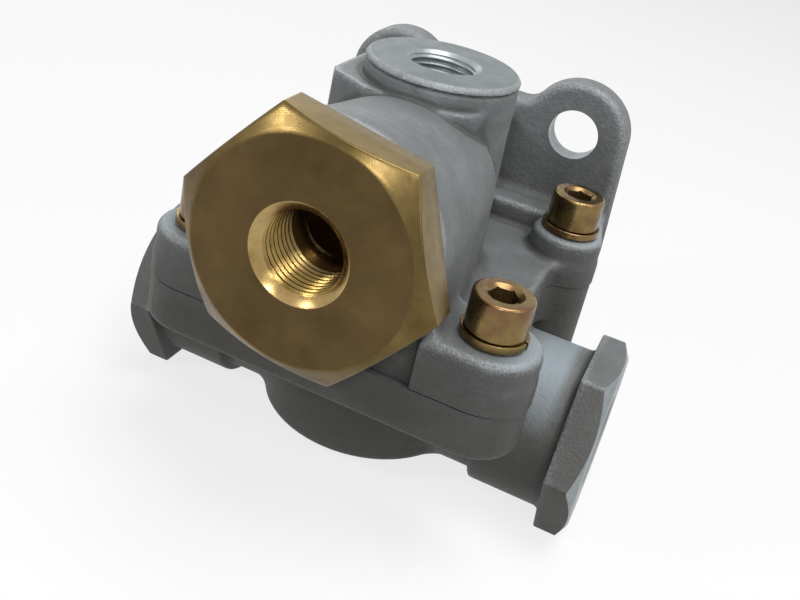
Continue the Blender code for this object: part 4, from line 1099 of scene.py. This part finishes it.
screws = {
    "headDiameter": 13.0,
    "headHeight": 8.0,
    "headRounding": 0.7,
    "seat": 14.1,
    "length": 25.0,
    "socket": 6.0,
    "colour": "#857348",
    "roseColour": "#765a42",
    "streakColour": "#6d5d33",
    # painted shade inside the socket
    "socketShadeColour": "#7a6741",
    "turns": {"front_left": 25.0, "front_right": 12.0, "rear_left": 51.0, "rear_right": 38.0},
}
washers = {
    "innerRadius": 4.45,
    "outerRadius": 7.2,
    "thickness": 1.65,
    "edge": 0.15,
    "seat": 12.2,
    "gapAngle": 8.0,
    "lift": 0.1,
}

zinc = zincPlate()
# Painted shade: the socket and the drill point take a darker zinc, standing in for the shade down
# in the socket.
zincSocketShaded = milledMetal("yellow_zinc_socket_shaded", screws["socketShadeColour"], "#4f3f24", "Z", 0.6, 0.9,
                         0.42)
brownRubber = softMaterial("brown_rubber", "#a97c55", "#85603f", 0.45, 0.3)
rubber = softMaterial("rubber", "#242424", "#191919", 0.62, 0.3)
acetal = softMaterial("acetal", "#dedbd0", "#d0ccc0", 0.4, 0.4)
rivetSteel = turnedMetal("rivet_steel", "#a8a9aa", "#8b8c8e", "Z", valveCentre, 0.3, 1.0, 0.34)


def screwMesh(name, x, y, turnAngle):
    # Socket head cap screw, resting on its washer.
    height = screws["headHeight"]
    radius = screws["headDiameter"] / 2
    rounding = screws["headRounding"]
    tip = -screws["length"]
    profile = [(onAxis, height), (4.3, height), (radius - 1.0, height)]
    for angle in range(0, 91, 15):
        across = radius - rounding + rounding * math.sin(math.radians(angle))
        up = height - rounding + rounding * math.cos(math.radians(angle))
        profile.append((across, up))
    profile += [(radius, 0.12), (radius - 0.12, 0.0), (4.0, 0.0), (4.0, tip + 1.0), (3.0, tip),
                (onAxis, tip)]
    origin = (x, y, screws["seat"])
    piece = newPiece(name, turnedMesh(name, profile, origin, "up", 96))
    piece.data.materials.append(zinc)
    corners = []
    for x, y in arcPoints(0.0, 0.0, screws["socket"] / math.sqrt(3), 0.0, 300.0, 5):
        swing = math.radians(turnAngle)
        corners.append((x * math.cos(swing) - y * math.sin(swing),
                        x * math.sin(swing) + y * math.cos(swing)))
    socket = prismMesh("socket", corners, height - 4.2, height + 3.0, origin, "up")
    mouth = turnedMesh("mouth", [
        (onAxis, height - 0.75), (3.1, height - 0.75), (3.7, height - 0.3),
        (4.15, height + 0.01), (4.15, height + 2.0), (onAxis, height + 2.0)], origin, "up", 64)
    drillPoint = turnedMesh("drill_point", [
        (onAxis, height - 5.4), (2.9, height - 4.1), (onAxis, height - 4.0)], origin, "up", 48)
    cut(piece, [(socket, zincSocketShaded), (mouth, zinc), (drillPoint, zincSocketShaded)])
    piece.data.shade_smooth()
    piece.data.set_sharp_from_angle(angle=math.radians(32.0))
    return piece


def washerMesh(name, x, y, splitAt):
    # Split spring washer: a flat ring whose two ends stand a little apart.
    inner = washers["innerRadius"]
    outer = washers["outerRadius"]
    top = washers["thickness"]
    edge = washers["edge"]
    gap = washers["gapAngle"]
    section = [(inner, edge), (inner + edge, 0.0), (outer - edge, 0.0), (outer, edge),
               (outer, top - edge), (outer - edge, top), (inner + edge, top), (inner, top - edge)]
    form = bmesh.new()
    corners = [form.verts.new((radius, 0.0, height)) for radius, height in section]
    edges = [form.edges.new(pair) for pair in zip(corners, corners[1:] + corners[:1])]
    bmesh.ops.spin(form, geom=corners + edges, cent=valveAxis, axis=(0.0, 0.0, 1.0),
                   dvec=(0.0, 0.0, 0.0), angle=math.radians(360.0 - gap), steps=99,
                   use_merge=False)
    bmesh.ops.holes_fill(form, edges=form.edges, sides=0)
    for point in form.verts:
        angle = math.degrees(math.atan2(point.co.y, point.co.x)) % 360.0
        angle = 0.0 if angle > 360.0 - gap / 2 else angle
        way = (angle + gap / 2 - 180.0) / (180.0 - gap / 2)
        bend = math.copysign(max(abs(way) - 0.55, 0.0) / 0.45, way)
        point.co.z += washers["lift"] * (1.0 + bend)
    swing = Matrix.Rotation(math.radians(splitAt + gap / 2), 3, "Z")
    bmesh.ops.rotate(form, cent=valveAxis, matrix=swing, verts=form.verts)
    mesh = finishForm(name, form, (x, y, washers["seat"]), "up")
    mesh.materials.append(zinc)
    piece = newPiece(name, mesh)
    piece.data.shade_smooth()
    piece.data.set_sharp_from_angle(angle=math.radians(35.0))
    return piece


for row, y in (("front", -screwY), ("rear", screwY)):
    for side, x in (("left", -screwX), ("right", screwX)):
        corner = row + "_" + side
        turnAngle = screws["turns"][corner]
        screw = screwMesh("screw_" + corner, x, y, turnAngle)
        finish(screw, "cover_screw_" + corner, "yellow_zinc")
        washer = washerMesh("washer_" + corner, x, y, turnAngle - 20.0)
        finish(washer, "screw_washer_" + corner, "yellow_zinc")

flapProfile = [(2.0, -33.6), (15.6, -33.6), (16.5, -33.4), (17.0, -32.9), (17.0, -31.5),
               (16.8, -31.3), (2.0, -31.3)]
flap = newPiece("rubber_flap", turnedMesh("rubber_flap", flapProfile, valveAxis, "up", 96, True))
flap.data.materials.append(rubber)
finish(flap, "exhaust_flap", "rubber")
rivetProfile = [(onAxis, -24.9), (3.0, -25.0), (3.2, -25.2), (3.2, -25.9), (1.7, -25.9),
                (1.7, -33.8), (4.5, -33.8), (4.5, -34.7), (4.1, -35.1), (2.0, -35.4),
                (onAxis, -35.4)]
rivet = newPiece("hollow_rivet", turnedMesh("hollow_rivet", rivetProfile, valveAxis, "up", 64))
rivet.data.materials.append(rivetSteel)
finish(rivet, "flap_rivet", "rivet_steel")
for piece in (flap, rivet):
    piece.data.shade_smooth()
    piece.data.set_sharp_from_angle(angle=math.radians(35.0))

# The pieces inside keep their CAD shape.
inner = {
    "adapter_o_ring": rubber,
    "cover_o_ring": rubber,
    "shuttle_front_seal": brownRubber,
    "shuttle_rear_seal": brownRubber,
    "diaphragm": rubber,
    "shuttle": acetal,
    "shuttle_sleeve": brassCut,
}
for name, material in inner.items():
    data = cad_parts[name].data
    data.materials.clear()
    data.materials.append(material)
print("small pieces done")


# Floor, light and camera.

floorSettings = {
    "halfWidth": 4000.0,
    "shadeColour": "#555555",
    "seenColour": "#f6f6f6",
    "glow": 0.75,
}
# Each lamp's place and side in metres, and its power in watts.
lamps = {
    "key": ((0.2, -0.1, 0.75), 0.5, 4.7),
    "side": ((0.7, -0.25, 0.3), 0.4, 1.0),
    "back": ((-0.45, 0.45, 0.45), 0.5, 1.2),
    "front_left": ((-0.61, -0.65, 0.42), 0.1, 2.0),
    "front_right": ((0.44, -0.6, 0.58), 0.1, 0.8),
    "front": ((0.15, -0.86, 0.46), 0.1, 2.0),
}
camera = {
    "place": (64.3, -209.1, 114.4),
    "right": (0.89539, 0.40166, 0.19222),
    "down": (0.32778, -0.30236, -0.89506),
    "ahead": (-0.30139, 0.86444, -0.40239),
    "focalPixels": 1021.0,
    "centrePixel": (373.66, 195.48),
    "imagePixels": (800, 600),
    "sensor": 36.0,
}


def seenRay(tree):
    # One for rays that show the background: straight to the camera, off metal or through glass.
    path = addNode(tree, "ShaderNodeLightPath").outputs
    seen = path["Is Camera Ray"]
    for ray in ("Is Glossy Ray", "Is Transmission Ray"):
        seen = addNode(tree, "ShaderNodeMath", {0: seen, 1: path[ray]},
                       operation="MAXIMUM").outputs[0]
    return seen


def makeFloor():
    form = bmesh.new()
    bmesh.ops.create_grid(form, x_segments=1, y_segments=1, size=floorSettings["halfWidth"])
    mesh = finishForm("floor", form, (0.0, axisToMount, -portDepth - collarHalfFlats), "up")
    floor = newPiece("floor", mesh)
    material = bpy.data.materials.new("pale_floor")
    material.use_nodes = True
    tree = material.node_tree
    shader = tree.nodes["Principled BSDF"]
    shader.inputs["Roughness"].default_value = 0.9
    shader.inputs["Specular IOR Level"].default_value = 0.0
    seen = seenRay(tree)
    tone = layers(tree, linear(floorSettings["shadeColour"]),
                  (seen, floorSettings["seenColour"]))
    tree.links.new(tone, shader.inputs["Base Color"])
    glow = addNode(tree, "ShaderNodeEmission", {"Color": (1.0, 1.0, 1.0, 1.0), "Strength": 1.0})
    share = masks(tree, (seen, 0.0, 1.0, 0.0, floorSettings["glow"]))[0]
    mix = addNode(tree, "ShaderNodeMixShader", {0: share, 1: shader.outputs[0],
                                                2: glow.outputs[0]})
    tree.links.new(mix.outputs[0], tree.nodes["Material Output"].inputs[0])
    mesh.materials.append(material)


def addLamp(name, location, size, energy):
    lamp = bpy.data.lights.new(name, "AREA")
    lamp.size = size
    lamp.energy = energy
    item = bpy.data.objects.new(name, lamp)
    target = place(0.0, 0.0, 10.0)
    item.location = location
    item.rotation_euler = (target - Vector(location)).to_track_quat("-Z", "Y").to_euler()
    bpy.context.scene.collection.objects.link(item)


def makeWorld():
    world = bpy.data.worlds.new("studio")
    bpy.context.scene.world = world
    world.use_nodes = True
    tree = world.node_tree
    strength = masks(tree, (seenRay(tree), 0.0, 1.0, 0.05, 1.0))[0]
    background = tree.nodes["Background"]
    background.inputs["Color"].default_value = (1.0, 1.0, 1.0, 1.0)
    tree.links.new(strength, background.inputs["Strength"])


def makeCamera():
    data = bpy.data.cameras.new("camera")
    item = bpy.data.objects.new("camera", data)
    bpy.context.scene.collection.objects.link(item)
    right = Vector(camera["right"])
    up = -Vector(camera["down"])
    back = -Vector(camera["ahead"])
    matrix = Matrix((right, up, back)).transposed().to_4x4()
    matrix.translation = place(*camera["place"])
    item.matrix_world = matrix
    width, height = camera["imagePixels"]
    data.sensor_width = camera["sensor"]
    data.lens = camera["focalPixels"] * camera["sensor"] / width
    data.shift_x = (width / 2 - camera["centrePixel"][0]) / width
    data.shift_y = (camera["centrePixel"][1] - height / 2) / width
    data.clip_start = 0.01
    data.clip_end = 20.0
    bpy.context.scene.camera = item


makeFloor()
makeWorld()
for name, (location, size, energy) in lamps.items():
    addLamp(name, location, size, energy)
makeCamera()
bpy.context.scene.view_settings.view_transform = "Standard"

print("scene done")
